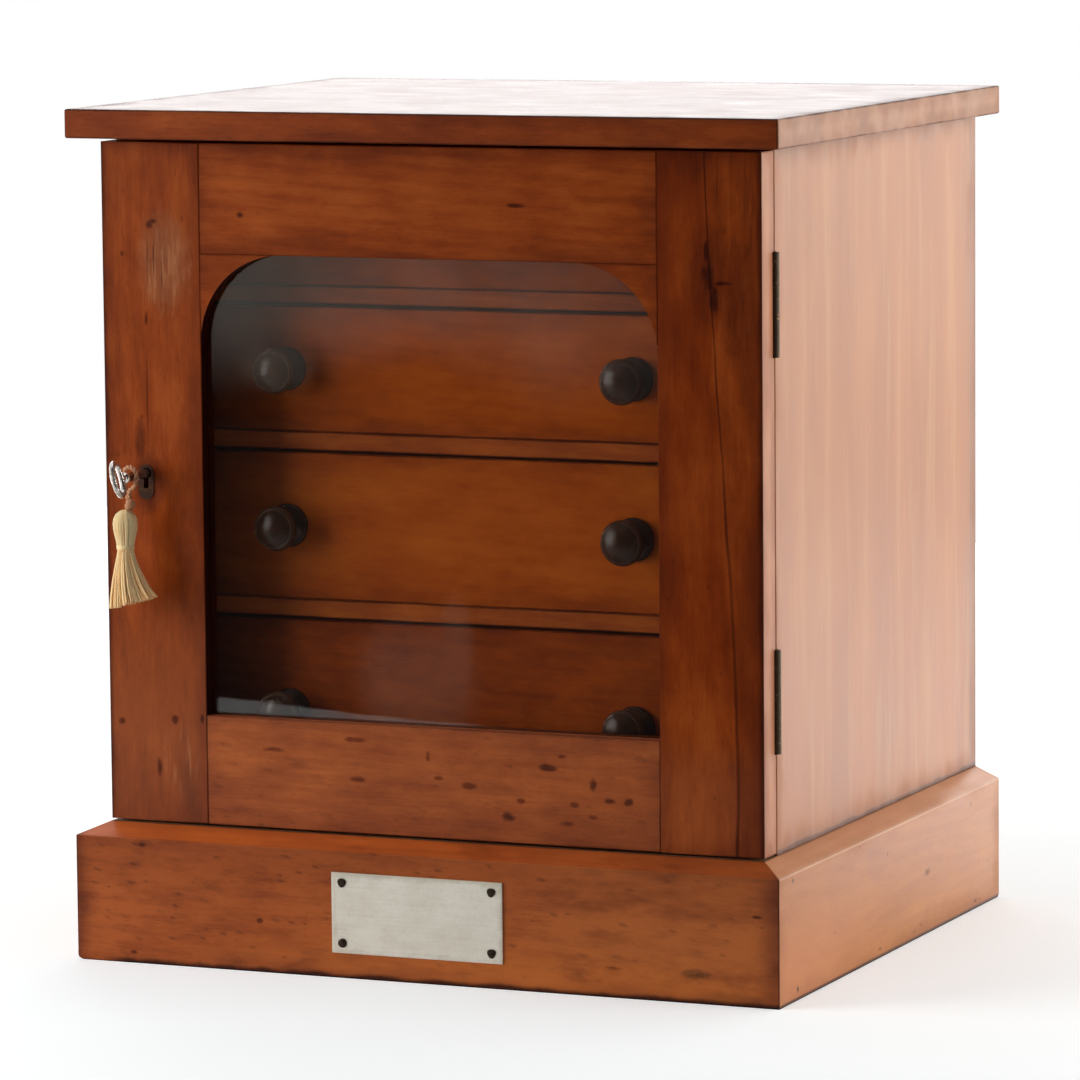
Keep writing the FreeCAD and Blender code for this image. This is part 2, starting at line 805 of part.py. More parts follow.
class Levels:
    """Heights of one drawer's pieces, from its bay."""

    def __init__(self, floor, bay):
        self.low = floor + drawer_bottom_gap
        self.high = floor + bay - drawer_top_gap
        self.side_high = self.high - drawer_side_drop
        self.back_high = self.side_high - drawer_back_drop
        self.bottom = (self.low + drawer_bottom_rise, self.low + drawer_bottom_rise + drawer_bottom_thickness)
        self.middle = (self.low + self.high) / 2


def dovetails(level):
    """Right-hand tails that reach forward from the drawer's side into its front."""
    height = level.side_high - level.low
    count = max(2, round(height / tail_pitch))
    pitch = height / count
    length = drawer_front_thickness - tail_lap
    neck = pitch * tail_neck_share / 2
    end = neck + length * tail_slope
    tails = []
    for index in range(count):
        middle = level.low + (index + 0.5) * pitch
        outline = [at(drawer_inner_half, drawer_inside_y, middle - neck),
                   at(drawer_inner_half, drawer_inside_y - length, middle - end),
                   at(drawer_inner_half, drawer_inside_y - length, middle + end),
                   at(drawer_inner_half, drawer_inside_y, middle + neck)]
        tails.append(prism(outline, at(drawer_side_thickness, 0, 0)))
    return tails


def bottom_block(level):
    """The drawer's bottom, held in grooves in the front and the sides."""
    reach = drawer_inner_half + drawer_groove_depth
    return block((-reach, reach), (drawer_inside_y - drawer_groove_depth, drawer_end_y), level.bottom)


def drawer_front(level):
    board = block((-drawer_half, drawer_half), (drawer_face_y, drawer_inside_y), (level.low, level.high))
    board = eased_front(board, drawer_face_y, drawer_arris)
    for tail in dovetails(level):
        board = board.cut(tail).cut(mirrored(tail))
    board = board.cut(bottom_block(level))
    for x in (-knob_spacing / 2, knob_spacing / 2):
        hole = rod(knob_spigot_radius + knob_fit, at(x, drawer_face_y, level.middle), at(0, 1, 0),
                   knob_spigot_length + knob_fit)
        board = board.cut(hole)
    return board


def drawer_sides_and_back(level):
    side = block((drawer_inner_half, drawer_half), (drawer_inside_y, drawer_end_y),
                 (level.low, level.side_high))
    side = side.fuse(dovetails(level)).removeSplitter().cut(bottom_block(level))
    back_y_range = (drawer_end_y - drawer_back_thickness, drawer_end_y)
    back = block((-drawer_inner_half, drawer_inner_half), back_y_range, (level.bottom[1], level.back_high))
    return [side, mirrored(side), back]


knob_length = drawer_setback + door_gap - knob_door_clearance


def knob(x, z):
    """Spool-shaped: a base disc, a waist, and a domed head."""
    def point(radius, out):
        return at(x + radius, drawer_face_y - out, z)

    rim_front = knob_length - knob_dome_height
    rim_back = rim_front - knob_rim_thickness
    waist_out = (knob_base_thickness + rim_back) / 2
    outline = [
        line(point(0, 0), point(knob_base_radius, 0)),
        line(point(knob_base_radius, 0), point(knob_base_radius, knob_base_thickness)),
        arc(point(knob_base_radius, knob_base_thickness), point(knob_waist_radius, waist_out),
            point(knob_head_radius, rim_back)),
        line(point(knob_head_radius, rim_back), point(knob_head_radius, rim_front)),
        line(point(knob_head_radius, rim_front), point(0, rim_front)),
        line(point(0, rim_front), point(0, 0)),
    ]
    spool = turned_on(outline, point(0, 0), at(0, 1, 0))
    front = dome(point(0, rim_front), at(0, -1, 0), knob_head_radius, knob_dome_height)
    spigot = rod(knob_spigot_radius, point(0, 0), at(0, 1, 0), knob_spigot_length)
    return spool.fuse([front, spigot]).removeSplitter()


os.makedirs("parts", exist_ok=True)

save("top_board", top_board())
save("left_side", left_side())
save("right_side", right_side())
save("back_panel", back_panel())
save("base_board", base_board())
rail_names = ["bottom_rail", "lower_rail", "middle_rail", "upper_rail", "top_rail"]
for rail_name, rail_level in zip(rail_names, rail_levels):
    save(rail_name, cross_rail(rail_level))
right_runners = [runner(rail_level) for rail_level in rail_levels]
save("right_runners", *right_runners)
save("left_runners", *[mirrored(piece) for piece in right_runners])
save("drawer_stops", *drawer_stops())
save("strike_plate", strike_plate())
save("strike_screws", *strike_screws())

save("plinth_front", plinth_front())
save("plinth_right", plinth_right())
save("plinth_left", mirrored(plinth_right()))
save("plinth_back", plinth_back())
save("plinth_blocks", *plinth_blocks())
save("plaque", plaque())
save("plaque_pins", *plaque_pins())

save("lock_stile", lock_stile())
save("hinge_stile", hinge_stile())
save("door_top_rail", door_rail(opening_top_z, (opening_top_z, opening_top_z + glass_rebate)))
save("door_bottom_rail", door_rail(door_bottom_z, (opening_bottom_z - glass_rebate, opening_bottom_z)))
save("right_spandrel", right_spandrel())
save("left_spandrel", mirrored(right_spandrel()))
save("glass_pane", glass_pane())
save("glazing_beads", *glazing_beads())

fixed_knuckles = range(0, knuckle_count, 2)
door_knuckles = range(1, knuckle_count, 2)
fixed_screws = hinge_screws(fixed_screw_face, at(0, 1, 0))
door_screws = hinge_screws(door_screw_face, at(0, -1, 0))
save("hinge_fixed_leaves", *hinge_leaves(fixed_knuckles, door_knuckles,
                                         (fixed_screw_face, fixed_screw_face + leaf_thickness),
                                         hinge_screws(fixed_screw_face, at(0, 1, 0), screw_fit)))
save("hinge_door_leaves", *hinge_leaves(door_knuckles, fixed_knuckles,
                                        (door_screw_face - leaf_thickness, door_screw_face),
                                        hinge_screws(door_screw_face, at(0, -1, 0), screw_fit)))
save("hinge_pins", *hinge_pins())
save("hinge_fixed_screws", *fixed_screws)
save("hinge_door_screws", *door_screws)

save("escutcheon", escutcheon())
save("lock_case", lock_case())
save("lock_cap", lock_cap())
save("lock_screws", *lock_screws())
save("lock_bolt", lock_bolt())
save("key", key())
save("tassel_loop", tassel_loop())
save("tassel_head", tassel_head())
save("tassel_skirt", tassel_skirt())

# Drawers are numbered from the top
for number, (floor_z, bay) in enumerate(reversed(list(zip(bay_floors, bays))), start=1):
    level = Levels(floor_z, bay)
    name = "drawer_" + str(number)
    save(name + "_front", drawer_front(level))
    save(name + "_sides", *drawer_sides_and_back(level))
    save(name + "_bottom", bottom_block(level))
    save(name + "_knobs", *[knob(x, level.middle) for x in (-knob_spacing / 2, knob_spacing / 2)])

print("hinge axis", round(hinge_x, 3), round(hinge_y, 3))
print("key axis", round(key_x, 3), round(key_z, 3), "bow", round(bow_y, 3))
print("tassel hangs at", round(hang_x, 3), round(loop_y, 3), round(head_top_z, 3))
print("plane of the drawer faces", round(drawer_face_y, 3), "knob length", round(knob_length, 3))
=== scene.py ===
"""Dresses the collector's cabinet: polished cedar, old glass, dark knobs, a nickel key and a silk tassel."""
import math
import random

import bmesh
import bpy
from bpy.props import FloatProperty, FloatVectorProperty, IntProperty, PointerProperty
from mathutils import Matrix, Vector


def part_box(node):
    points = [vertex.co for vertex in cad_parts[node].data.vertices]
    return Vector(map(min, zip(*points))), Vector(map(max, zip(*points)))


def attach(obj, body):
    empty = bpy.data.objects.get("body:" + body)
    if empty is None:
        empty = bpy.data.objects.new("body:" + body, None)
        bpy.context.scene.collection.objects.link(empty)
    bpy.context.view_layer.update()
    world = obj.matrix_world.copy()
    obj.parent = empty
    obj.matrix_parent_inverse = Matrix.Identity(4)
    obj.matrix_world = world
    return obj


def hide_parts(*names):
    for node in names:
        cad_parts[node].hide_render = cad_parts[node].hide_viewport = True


bl_info = {
    "name": "Collector's cabinet",
    "version": (1, 0, 0),
    "blender": (4, 5, 0),
    "location": "View3D > Sidebar > Cabinet",
    "description": "Dresses the boards, door, drawers and fittings of a collector's cabinet",
    "category": "Object",
}

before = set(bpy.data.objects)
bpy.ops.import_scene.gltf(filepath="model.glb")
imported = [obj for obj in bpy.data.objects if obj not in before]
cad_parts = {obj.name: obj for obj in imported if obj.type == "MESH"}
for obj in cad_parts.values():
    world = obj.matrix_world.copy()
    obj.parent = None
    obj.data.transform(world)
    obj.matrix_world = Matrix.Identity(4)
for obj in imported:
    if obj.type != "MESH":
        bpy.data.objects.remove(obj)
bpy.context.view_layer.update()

ALONG_X, ALONG_Y, ALONG_Z = 0, 1, 2
ON_FRONT = (ALONG_X, ALONG_Z)
ON_RIGHT = (ALONG_Y, ALONG_Z)
DOOR_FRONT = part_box("lock_stile")[0].y
DOOR_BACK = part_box("lock_stile")[1].y
OPENING_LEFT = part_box("lock_stile")[1].x
PLINTH_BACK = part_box("plinth_right")[1].y
BEVEL_LOW, BEVEL_HIGH = 0.0628, 0.0642      # the plinth's face turns into its bevel between these heights
RING_WIDTH = 0.0075                         # one year of the wood's growth
KEY_X, KEY_Z = -0.1535, 0.24615             # the axis that the key turns about
SMOOTH_BELOW = math.radians(40.0)           # edges blunter than this are shaded as round


class Signal:
    """A socket of a node tree. Arithmetic on signals adds Math nodes, and node() adds any other kind."""

    def __init__(self, tree, socket):
        self.tree = tree
        self.socket = socket

    def node(self, kind, settings=None, inputs=None, output=0):
        made = self.tree.nodes.new(kind)
        for name, value in (settings or {}).items():
            if name == "stops":
                ramp = made.color_ramp
                while len(ramp.elements) < len(value):
                    ramp.elements.new(1.0)
                for element, (place, colour) in zip(ramp.elements, value):
                    element.position = place
                    element.color = (*colour, 1.0)
            else:
                setattr(made, name, value)
        for name, value in (inputs or {}).items():
            if isinstance(value, Signal):
                self.tree.links.new(value.socket, made.inputs[name])
            else:
                made.inputs[name].default_value = value
        return Signal(self.tree, made.outputs[output])

    def output(self, name):
        return Signal(self.tree, self.socket.node.outputs[name])

    def work(self, operation, first, second):
        return self.node("ShaderNodeMath", {"operation": operation}, {0: first, 1: second})

    def __add__(self, other):
        return self.work("ADD", self, other)

    __radd__ = __add__

    def __sub__(self, other):
        return self.work("SUBTRACT", self, other)

    def __rsub__(self, other):
        return self.work("SUBTRACT", other, self)

    def __mul__(self, other):
        return self.work("MULTIPLY", self, other)

    __rmul__ = __mul__

    def __truediv__(self, other):
        return self.work("DIVIDE", self, other)


def least(first, second):
    return first.work("MINIMUM", first, second)


def most(first, second):
    return first.work("MAXIMUM", first, second)


def sine(signal):
    return signal.node("ShaderNodeMath", {"operation": "SINE"}, {0: signal})


def rise(signal, low, high):
    """0 below low, 1 above high, smooth between them; falls instead where low is the larger."""
    return signal.node("ShaderNodeMapRange", {"interpolation_type": "SMOOTHSTEP"},
                       {"Value": signal, "From Min": low, "From Max": high})


def noise(place, scale=1.0, detail=2.0, roughness=0.5, distortion=0.0):
    return place.node("ShaderNodeTexNoise", {"noise_dimensions": "3D"},
                      {"Vector": place, "Scale": scale, "Detail": detail, "Roughness": roughness,
                       "Distortion": distortion}, "Fac")


def patches(place, shift, scales, detail=2.0, **settings):
    """Noise over a place that is shifted and stretched first."""
    return noise(stretched(place, shift, scales), detail=detail, **settings)


def uneven(place, shift, scales, detail=2.0, roughness=0.5):
    """Patches that swing to either side of 0."""
    return patches(place, shift, scales, detail, roughness=roughness) - 0.5


def mixed(first, second, share):
    """Two colours blended; either may be a plain colour."""
    maker = share if isinstance(share, Signal) else first
    plain = [value if isinstance(value, Signal) else (*value, 1.0) for value in (first, second)]
    return maker.node("ShaderNodeMix", {"data_type": "RGBA"}, {0: share, 6: plain[0], 7: plain[1]}, 2)


def darkened(colour, share, tint):
    """Multiplies a colour by a tint where share is 1."""
    return colour.node("ShaderNodeMix", {"data_type": "RGBA", "blend_type": "MULTIPLY"},
                       {0: share, 6: colour, 7: (*tint, 1.0)}, 2)


def parts_of(place):
    split = place.node("ShaderNodeSeparateXYZ", None, {"Vector": place})
    return split.output("X"), split.output("Y"), split.output("Z")


def stretched(place, shift, scales):
    return place.node("ShaderNodeMapping", None, {"Vector": place, "Location": shift, "Scale": scales})


def bumped(surface, height, strength, distance):
    inputs = {"Height": height, "Strength": strength, "Distance": distance}
    normal = height.node("ShaderNodeBump", None, inputs)
    height.tree.links.new(normal.socket, surface.inputs["Normal"])


def blank_material(name):
    """A material with a Principled shader, and the object coordinates that its patterns read."""
    material = bpy.data.materials.new(name)
    material.use_nodes = True
    tree = material.node_tree
    tree.nodes.clear()
    surface = tree.nodes.new("ShaderNodeBsdfPrincipled")
    output = tree.nodes.new("ShaderNodeOutputMaterial")
    tree.links.new(surface.outputs["BSDF"], output.inputs["Surface"])
    coordinates = tree.nodes.new("ShaderNodeTexCoord")
    return material, surface, Signal(tree, coordinates.outputs["Object"])


def show(shader):
    """Gives a material's output another shader than its Principled one."""
    output = next(node for node in shader.tree.nodes if node.type == "OUTPUT_MATERIAL")
    shader.tree.links.new(shader.socket, output.inputs["Surface"])


def layered(first, second, share):
    """Two shaders blended."""
    return share.node("ShaderNodeMixShader", None, {0: share, 1: first, 2: second})


def any_shift(draw):
    """A random place in a pattern, so that no two pieces look alike."""
    return [draw.uniform(-9, 9) for _ in range(3)]


def feed(surface, **inputs):
    """Links signals and sets plain values, by the sockets' names with _ for a space."""
    for name, value in inputs.items():
        socket = surface.inputs[name.replace("_", " ")]
        if isinstance(value, Signal):
            value.tree.links.new(value.socket, socket)
        else:
            socket.default_value = value


def edge_distance(place, low, high):
    """How far a point on a board's surface lies from the board's nearest edge."""
    reach = []
    for part, start, end in zip(parts_of(place), low, high):
        reach.append(least(part - start, end - part))
    smaller = least(reach[0], reach[1])
    larger = most(reach[0], reach[1])
    return most(smaller, least(larger, reach[2]))


def blots(place, spots, ragged, axes=ON_FRONT):
    """A mask of ragged blots, each given in millimetres as its middle and its half sizes along two axes."""
    parts = parts_of(place)
    mask = None
    for spot in spots:
        first, second, half_first, half_second = (size / 1000 for size in spot)
        across = (parts[axes[0]] - first) / half_first
        up = (parts[axes[1]] - second) / half_second
        blot = rise(across * across + up * up + ragged, 1.6, 0.0)
        mask = most(mask, blot) if mask else blot
    return mask


def spotted(place, colour, spots, ragged, tint, axes=ON_FRONT):
    """Multiplies a colour by a tint over ragged blots."""
    return darkened(colour, blots(place, spots, ragged, axes), tint)


def along(place, shift, grain, across, lengthwise):
    """A place stretched along the grain of a board."""
    scales = [across] * 3
    scales[grain] = lengthwise
    return stretched(place, shift, scales)


def dashes(place, shift, grain, across, lengthwise, share):
    """A mask of short dark dashes that lie nearly along the grain, some fainter than others."""
    tilted = place.node("ShaderNodeMapping", None, {"Vector": place, "Rotation": (0.0, -0.17, 0.0)})
    cells = along(tilted, shift, grain, across, lengthwise)
    spots = cells.node("ShaderNodeTexVoronoi", {"feature": "F1"}, {"Vector": cells, "Scale": 1.0})
    chance = parts_of(spots.output("Color"))
    ragged = spots + uneven(place, shift, (650, 650, 650), 3) * 0.4
    size = rise(chance[0], 1.0 - share, 1.05) * 0.42
    return rise(ragged, size * 1.2, size * 0.15) * (0.25 + chance[1] * 0.75)


def wood(name, low, high, grain, seed, colours, polish, tone=0.0, flecks=0.0, grime=1.0, figure=1.0, foot=0.0,
         head=0.0, marks=None, fine=1.0, gloss=0.22, mottled=1.0, line=0.8):
    """Sawn wood with its grain along one axis, darker at its edges. colours are dark, middle and pale.

    tone lightens it. figure, fine and mottled set how much its bands, its fibres and its clouds show. grime
    is the dirt near its edges and line the dirt on them, and foot is how far that dirt spreads from its lower
    end. head is how far a painted shade, the shadow of an overhang, spreads down from its upper end.
    """
    material, surface, place = blank_material(name)
    draw = random.Random(seed)
    shift = any_shift(draw)
    first, second = [axis for axis in (ALONG_X, ALONG_Y, ALONG_Z) if axis != grain]

    def along_grain(across, lengthwise):
        return along(place, shift, grain, across, lengthwise)

    parts = parts_of(place)
    middle = [(lowest + highest) / 2 for lowest, highest in zip(low, high)]
    first_pith = middle[first] + draw.uniform(-0.05, 0.05)
    second_pith = middle[second] + draw.choice([-1, 1]) * draw.uniform(0.05, 0.09)
    slope = draw.uniform(0.04, 0.1)
    sway = noise(along_grain(14.0, 5.0), detail=2.0)
    first_reach = parts[first] - first_pith + (sway - 0.5) * 0.06
    second_reach = parts[second] - second_pith + (parts[grain] - middle[grain]) * slope
    square = first_reach * first_reach + second_reach * second_reach
    radius = place.node("ShaderNodeMath", {"operation": "SQRT"}, {0: square})
    rings = rise(sine(radius * (math.tau / RING_WIDTH) + sway * 8.0), -0.4, 1.0)

    bands = noise(along_grain(26.0, 2.4), detail=2.0)
    streaks = noise(along_grain(150.0, 16.0), detail=3.0, roughness=0.6)
    fibres = noise(along_grain(700.0, 60.0), detail=2.0)
    mottle = noise(along_grain(52.0, 26.0), detail=5.0, roughness=0.68)
    light = (0.5 + tone + (bands - 0.5) * (0.6 * figure) + (streaks - 0.5) * (0.42 * figure * fine)
             + (fibres - 0.5) * (0.34 * fine) + (mottle - 0.5) * (1.05 * mottled)
             - (rings - 0.4) * (0.1 * figure * fine))
    dark, mid, pale = colours
    stops = [(0.0, dark), (0.5, mid), (1.0, pale)]
    colour = light.node("ShaderNodeValToRGB", {"stops": stops}, {"Fac": light})

    pores = rise(noise(along_grain(2300.0, 170.0), detail=1.0), 0.6, 0.74)
    colour = darkened(colour, pores * fine, (0.78, 0.72, 0.68))

    if flecks:
        fleck = most(dashes(place, shift, grain, 125.0, 50.0, flecks) * 0.95,
                     dashes(place, shift, grain, 300.0, 110.0, flecks * 1.3) * 0.85)
        colour = darkened(colour, fleck, (0.3, 0.2, 0.16))
        rough_spots = fleck
    else:
        rough_spots = pores * 0.3

    if marks:
        colour = marks(place, colour)

    if grime:
        nearest = edge_distance(place, low, high)
        patchy = noise(along_grain(60.0, 25.0), detail=3.0)
        arris = rise(nearest - (patchy - 0.5) * 0.0014, 0.001, 0.0002)
        edge_dirt_and_top_shade = rise(nearest - (patchy - 0.45) * 0.03, 0.012, -0.004)
        if foot:
            edge_dirt_and_top_shade = most(edge_dirt_and_top_shade, rise(parts[2] - low[2] - (patchy - 0.45) * 0.07, foot, -0.3 * foot))
        # painted shade: head spreads the overhang's shadow down from the board's upper end
        if head:
            edge_dirt_and_top_shade = most(edge_dirt_and_top_shade, rise(high[2] - parts[2] - (patchy - 0.45) * 0.03, head, -0.2 * head))
        colour = darkened(colour, edge_dirt_and_top_shade * (0.62 * grime), (0.56, 0.5, 0.6))
        colour = darkened(colour, arris * (line * grime), (0.32, 0.25, 0.26))
        dull = arris * 0.2 + edge_dirt_and_top_shade * 0.1
    else:
        dull = 0.0

    roughness = polish + (mottle - 0.5) * (0.22 * mottled) + dull + rough_spots * 0.15
    feed(surface, Base_Color=colour, Roughness=roughness, Specular_IOR_Level=gloss, IOR=1.5)
    bumped(surface, fibres * 0.6 - pores - rough_spots, 0.22 * fine, 0.00012)
    return material


def paint_node(name, material):
    """Gives a node of the fixed frame its finish."""
    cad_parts[name].material_slots[0].material = material


def added(name, data):
    """A new object in the scene, with that mesh or curve."""
    piece = bpy.data.objects.new(name, data)
    bpy.context.scene.collection.objects.link(piece)
    return piece


def only(piece):
    """Selects one piece alone."""
    bpy.ops.object.select_all(action="DESELECT")
    piece.select_set(True)
    bpy.context.view_layer.objects.active = piece


def settled(piece, body, slot, material, *nodes):
    """Gives a finished piece its material and its body, and hides the nodes that it stands for."""
    piece.data.materials.clear()
    piece.data.materials.append(material)
    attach(piece, body)
    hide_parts(*nodes)


def turned(name, profile, steps):
    """Turns a line of points, each a radius and how far out it lies, about the Y axis as on a lathe."""
    bpy.ops.object.select_all(action="DESELECT")
    bpy.ops.mesh.primitive_plane_add(size=0.001)
    piece = bpy.context.object
    piece.name = name
    bpy.ops.object.mode_set(mode="EDIT")
    bpy.ops.mesh.select_mode(type="VERT")
    bpy.ops.mesh.select_all(action="SELECT")
    bpy.ops.mesh.merge(type="CENTER")
    radius, out = profile[0]
    bpy.ops.transform.translate(value=(radius, -out, 0.0))
    for next_radius, next_out in profile[1:]:
        step = (next_radius - radius, out - next_out, 0.0)
        bpy.ops.mesh.extrude_region_move(TRANSFORM_OT_translate={"value": step})
        radius, out = next_radius, next_out
    bpy.ops.mesh.select_all(action="SELECT")
    bpy.ops.mesh.spin(steps=steps, angle=math.tau, center=(0.0, 0.0, 0.0), axis=(0.0, 1.0, 0.0))
    bpy.ops.mesh.select_all(action="SELECT")
    bpy.ops.mesh.remove_doubles(threshold=0.000004)
    bpy.ops.mesh.normals_make_consistent(inside=False)
    bpy.ops.object.mode_set(mode="OBJECT")
    bpy.ops.object.shade_smooth_by_angle(angle=SMOOTH_BELOW)
    return piece


def in_metres(line):
    """A turner's line in millimetres, made metres."""
    return [(radius / 1000, out / 1000) for radius, out in line]


def copied(piece, name, move):
    """A copy with a mesh of its own, moved in its mesh."""
    twin = added(name, piece.data.copy())
    twin.data.transform(Matrix.Translation(move))
    return twin


def joined(pieces, name):
    """Several pieces made one object."""
    bpy.ops.object.select_all(action="DESELECT")
    for piece in pieces:
        piece.select_set(True)
    bpy.context.view_layer.objects.active = pieces[0]
    bpy.ops.object.join()
    pieces[0].name = name
    pieces[0].data.name = name
    return pieces[0]


def combined(piece, other, operation):
    """Joins another solid to a piece, or cuts it out of the piece, and does away with it."""
    only(piece)
    change = piece.modifiers.new("combined", "BOOLEAN")
    change.operation = operation
    change.solver = "EXACT"
    change.object = other
    bpy.ops.object.modifier_apply(modifier=change.name)
    bpy.data.objects.remove(other)


def on_circle(middle, reach, angle, height):
    """A point of a level circle round a middle."""
    return Vector((middle.x + reach * math.cos(angle), middle.y + reach * math.sin(angle), height))


def threads(name, lines, radius, closed=False, roundness=1):
    """Thin round threads along lines of points, as one mesh."""
    curve = bpy.data.curves.new(name, "CURVE")
    curve.dimensions = "3D"
    curve.bevel_depth = radius
    curve.bevel_resolution = roundness
    curve.use_fill_caps = True
    for line in lines:
        spline = curve.splines.new("POLY")
        spline.points.add(len(line) - 1)
        spline.use_cyclic_u = closed
        for point, place in zip(spline.points, line):
            point.co = (*place, 1.0)
    only(added(name, curve))
    bpy.ops.object.convert(target="MESH")
    piece = bpy.context.object
    bpy.ops.object.shade_smooth_by_angle(angle=math.radians(75.0))
    return piece


def metal(name, clean, tarnish, roughness, share=0.5, spread=220.0, scratched=0.0, seed=1):
    """Metal that is clean in places and tarnished in others; share is how much of it is tarnished."""
    material, surface, place = blank_material(name)
    draw = random.Random(seed)
    shift = any_shift(draw)
    clouds = patches(place, shift, [spread] * 3, 4.0, roughness=0.65)
    grit = patches(place, shift, [spread * 9] * 3)
    dull = 1 - rise(clouds + (grit - 0.5) * 0.2, 0.72 - 0.45 * share, 0.62 - 0.45 * share)
    lines = patches(place, shift, (60, 60, 4200))
    feed(surface, Base_Color=mixed(clean, tarnish, dull), Metallic=1 - dull * 0.35,
         Roughness=roughness + dull * 0.2 + (grit - 0.5) * 0.15 + (lines - 0.5) * scratched)
    bumped(surface, clouds * 0.7 + grit * 0.3 + lines * scratched, 0.25, 0.00012)
    return material


def eased_board(node, body, material, ease, knocked):
    """A copy of a board whose long arrises are rounded by wear, and its left and back feet by knocks."""
    piece = added(node + "_polished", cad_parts[node].data.copy())
    only(piece)
    bpy.ops.object.mode_set(mode="EDIT")
    bpy.ops.mesh.select_mode(type="EDGE")
    bpy.ops.mesh.select_all(action="SELECT")
    bpy.ops.mesh.remove_doubles(threshold=0.00001)
    bpy.ops.mesh.dissolve_limited(angle_limit=math.radians(0.5))
    bpy.ops.mesh.select_all(action="DESELECT")
    shape = bmesh.from_edit_mesh(piece.data)
    if knocked:
        for edge in shape.edges:
            first, second = (point.co for point in edge.verts)
            slanted = first.x < 0 and min(abs(first.x - second.x), abs(first.y - second.y)) > 0.005
            at_back = min(first.y, second.y) > PLINTH_BACK - 0.001
            edge.select_set(max(first.z, second.z) < 0.0001 and (slanted or at_back))
        bmesh.update_edit_mesh(piece.data)
        bpy.ops.mesh.bevel(offset=knocked, segments=4, affect="EDGES", clamp_overlap=True)
        bpy.ops.mesh.select_all(action="DESELECT")
        shape = bmesh.from_edit_mesh(piece.data)
    for edge in shape.edges:
        sharp = len(edge.link_faces) == 2 and edge.calc_face_angle_signed() > SMOOTH_BELOW
        edge.select_set(sharp and edge.calc_length() > 6 * ease)
    bmesh.update_edit_mesh(piece.data)
    bpy.ops.mesh.bevel(offset=ease, segments=2, affect="EDGES", clamp_overlap=True)
    bpy.ops.object.mode_set(mode="OBJECT")
    bpy.ops.object.shade_smooth_by_angle(angle=SMOOTH_BELOW)
    flat = piece.modifiers.new("flat faces", "WEIGHTED_NORMAL")
    flat.keep_sharp = True
    flat.weight = 100
    bpy.ops.object.modifier_apply(modifier=flat.name)
    edge_face = piece.data.attributes.new("edge_face", "FLOAT", "FACE")
    for face in piece.data.polygons:
        edge_face.data[face.index].value = 1.0 - abs(face.normal.y)
    settled(piece, body, "cedar", material, node)


def tone_of(name, description, colour):
    return FloatVectorProperty(name=name, description=description, subtype="COLOR", size=3, min=0.0, max=1.0,
                               default=colour)


def place_of(name, description, place):
    return FloatVectorProperty(name=name, description=description, subtype="TRANSLATION", size=3,
                               default=place)


def length_of(name, description, length):
    return FloatProperty(name=name, description=description, unit="LENGTH", default=length)


def angle_of(name, description, degrees):
    return FloatProperty(name=name, description=description, subtype="ANGLE", default=math.radians(degrees))


class StageSettings(bpy.types.PropertyGroup):
    azimuth: angle_of("Azimuth", "Camera's turn from straight in front", 23.03)
    elevation: angle_of("Elevation", "Camera's height as an angle", 6.99)
    roll: angle_of("Roll", "Camera's tilt about its own line of sight", -0.5155)
    distance: length_of("Distance", "Camera to the point that it looks at", 3.2117)
    target: place_of("Target", "Point that the camera looks at", (-0.00331, 0.0, 0.2011))
    lens: FloatProperty(name="Lens", description="Focal length on a 36 mm sensor", unit="CAMERA",
                        default=208.85)
    floor_front: length_of("Floor front", "Front edge of the floor", -1.3)
    floor_back: length_of("Floor back", "Back edge of the floor", 1.6)


class CedarSettings(bpy.types.PropertyGroup):
    dark: tone_of("Dark", "Darkest tone of the cedar", (0.13, 0.018, 0.0014))
    middle: tone_of("Middle", "Main tone of the cedar", (0.28, 0.048, 0.0042))
    pale: tone_of("Pale", "Lightest tone of the cedar", (0.44, 0.1, 0.014))
    polish: FloatProperty(name="Polish", description="Roughness of the polish", subtype="FACTOR",
                          min=0.0, max=1.0, default=0.38)
    ease: length_of("Ease", "Rounding of the worn arrises", 0.0006)
    warm_dark: tone_of("Warm dark", "Darkest tone of the cedar behind the glass", (0.185, 0.024, 0.0008))
    warm_middle: tone_of("Warm middle", "Main tone of the cedar behind the glass", (0.37, 0.061, 0.0018))
    warm_pale: tone_of("Warm pale", "Lightest tone of the cedar behind the glass", (0.52, 0.114, 0.006))
    # these paler tones of the sides and the plinth's ends are partly sun-faded wood and partly painted light
    # from the side lamps
    faded_dark: tone_of("Faded dark", "Darkest tone of the sun-faded cedar", (0.2, 0.055, 0.009))
    faded_middle: tone_of("Faded middle", "Main tone of the sun-faded cedar", (0.34, 0.105, 0.02))
    faded_pale: tone_of("Faded pale", "Lightest tone of the sun-faded cedar", (0.47, 0.18, 0.045))
    inner_dark: tone_of("Inner dark", "Darkest tone of the unpolished wood", (0.17, 0.065, 0.026))
    inner_middle: tone_of("Inner middle", "Main tone of the unpolished wood", (0.33, 0.16, 0.075))
    inner_pale: tone_of("Inner pale", "Lightest tone of the unpolished wood", (0.46, 0.26, 0.13))


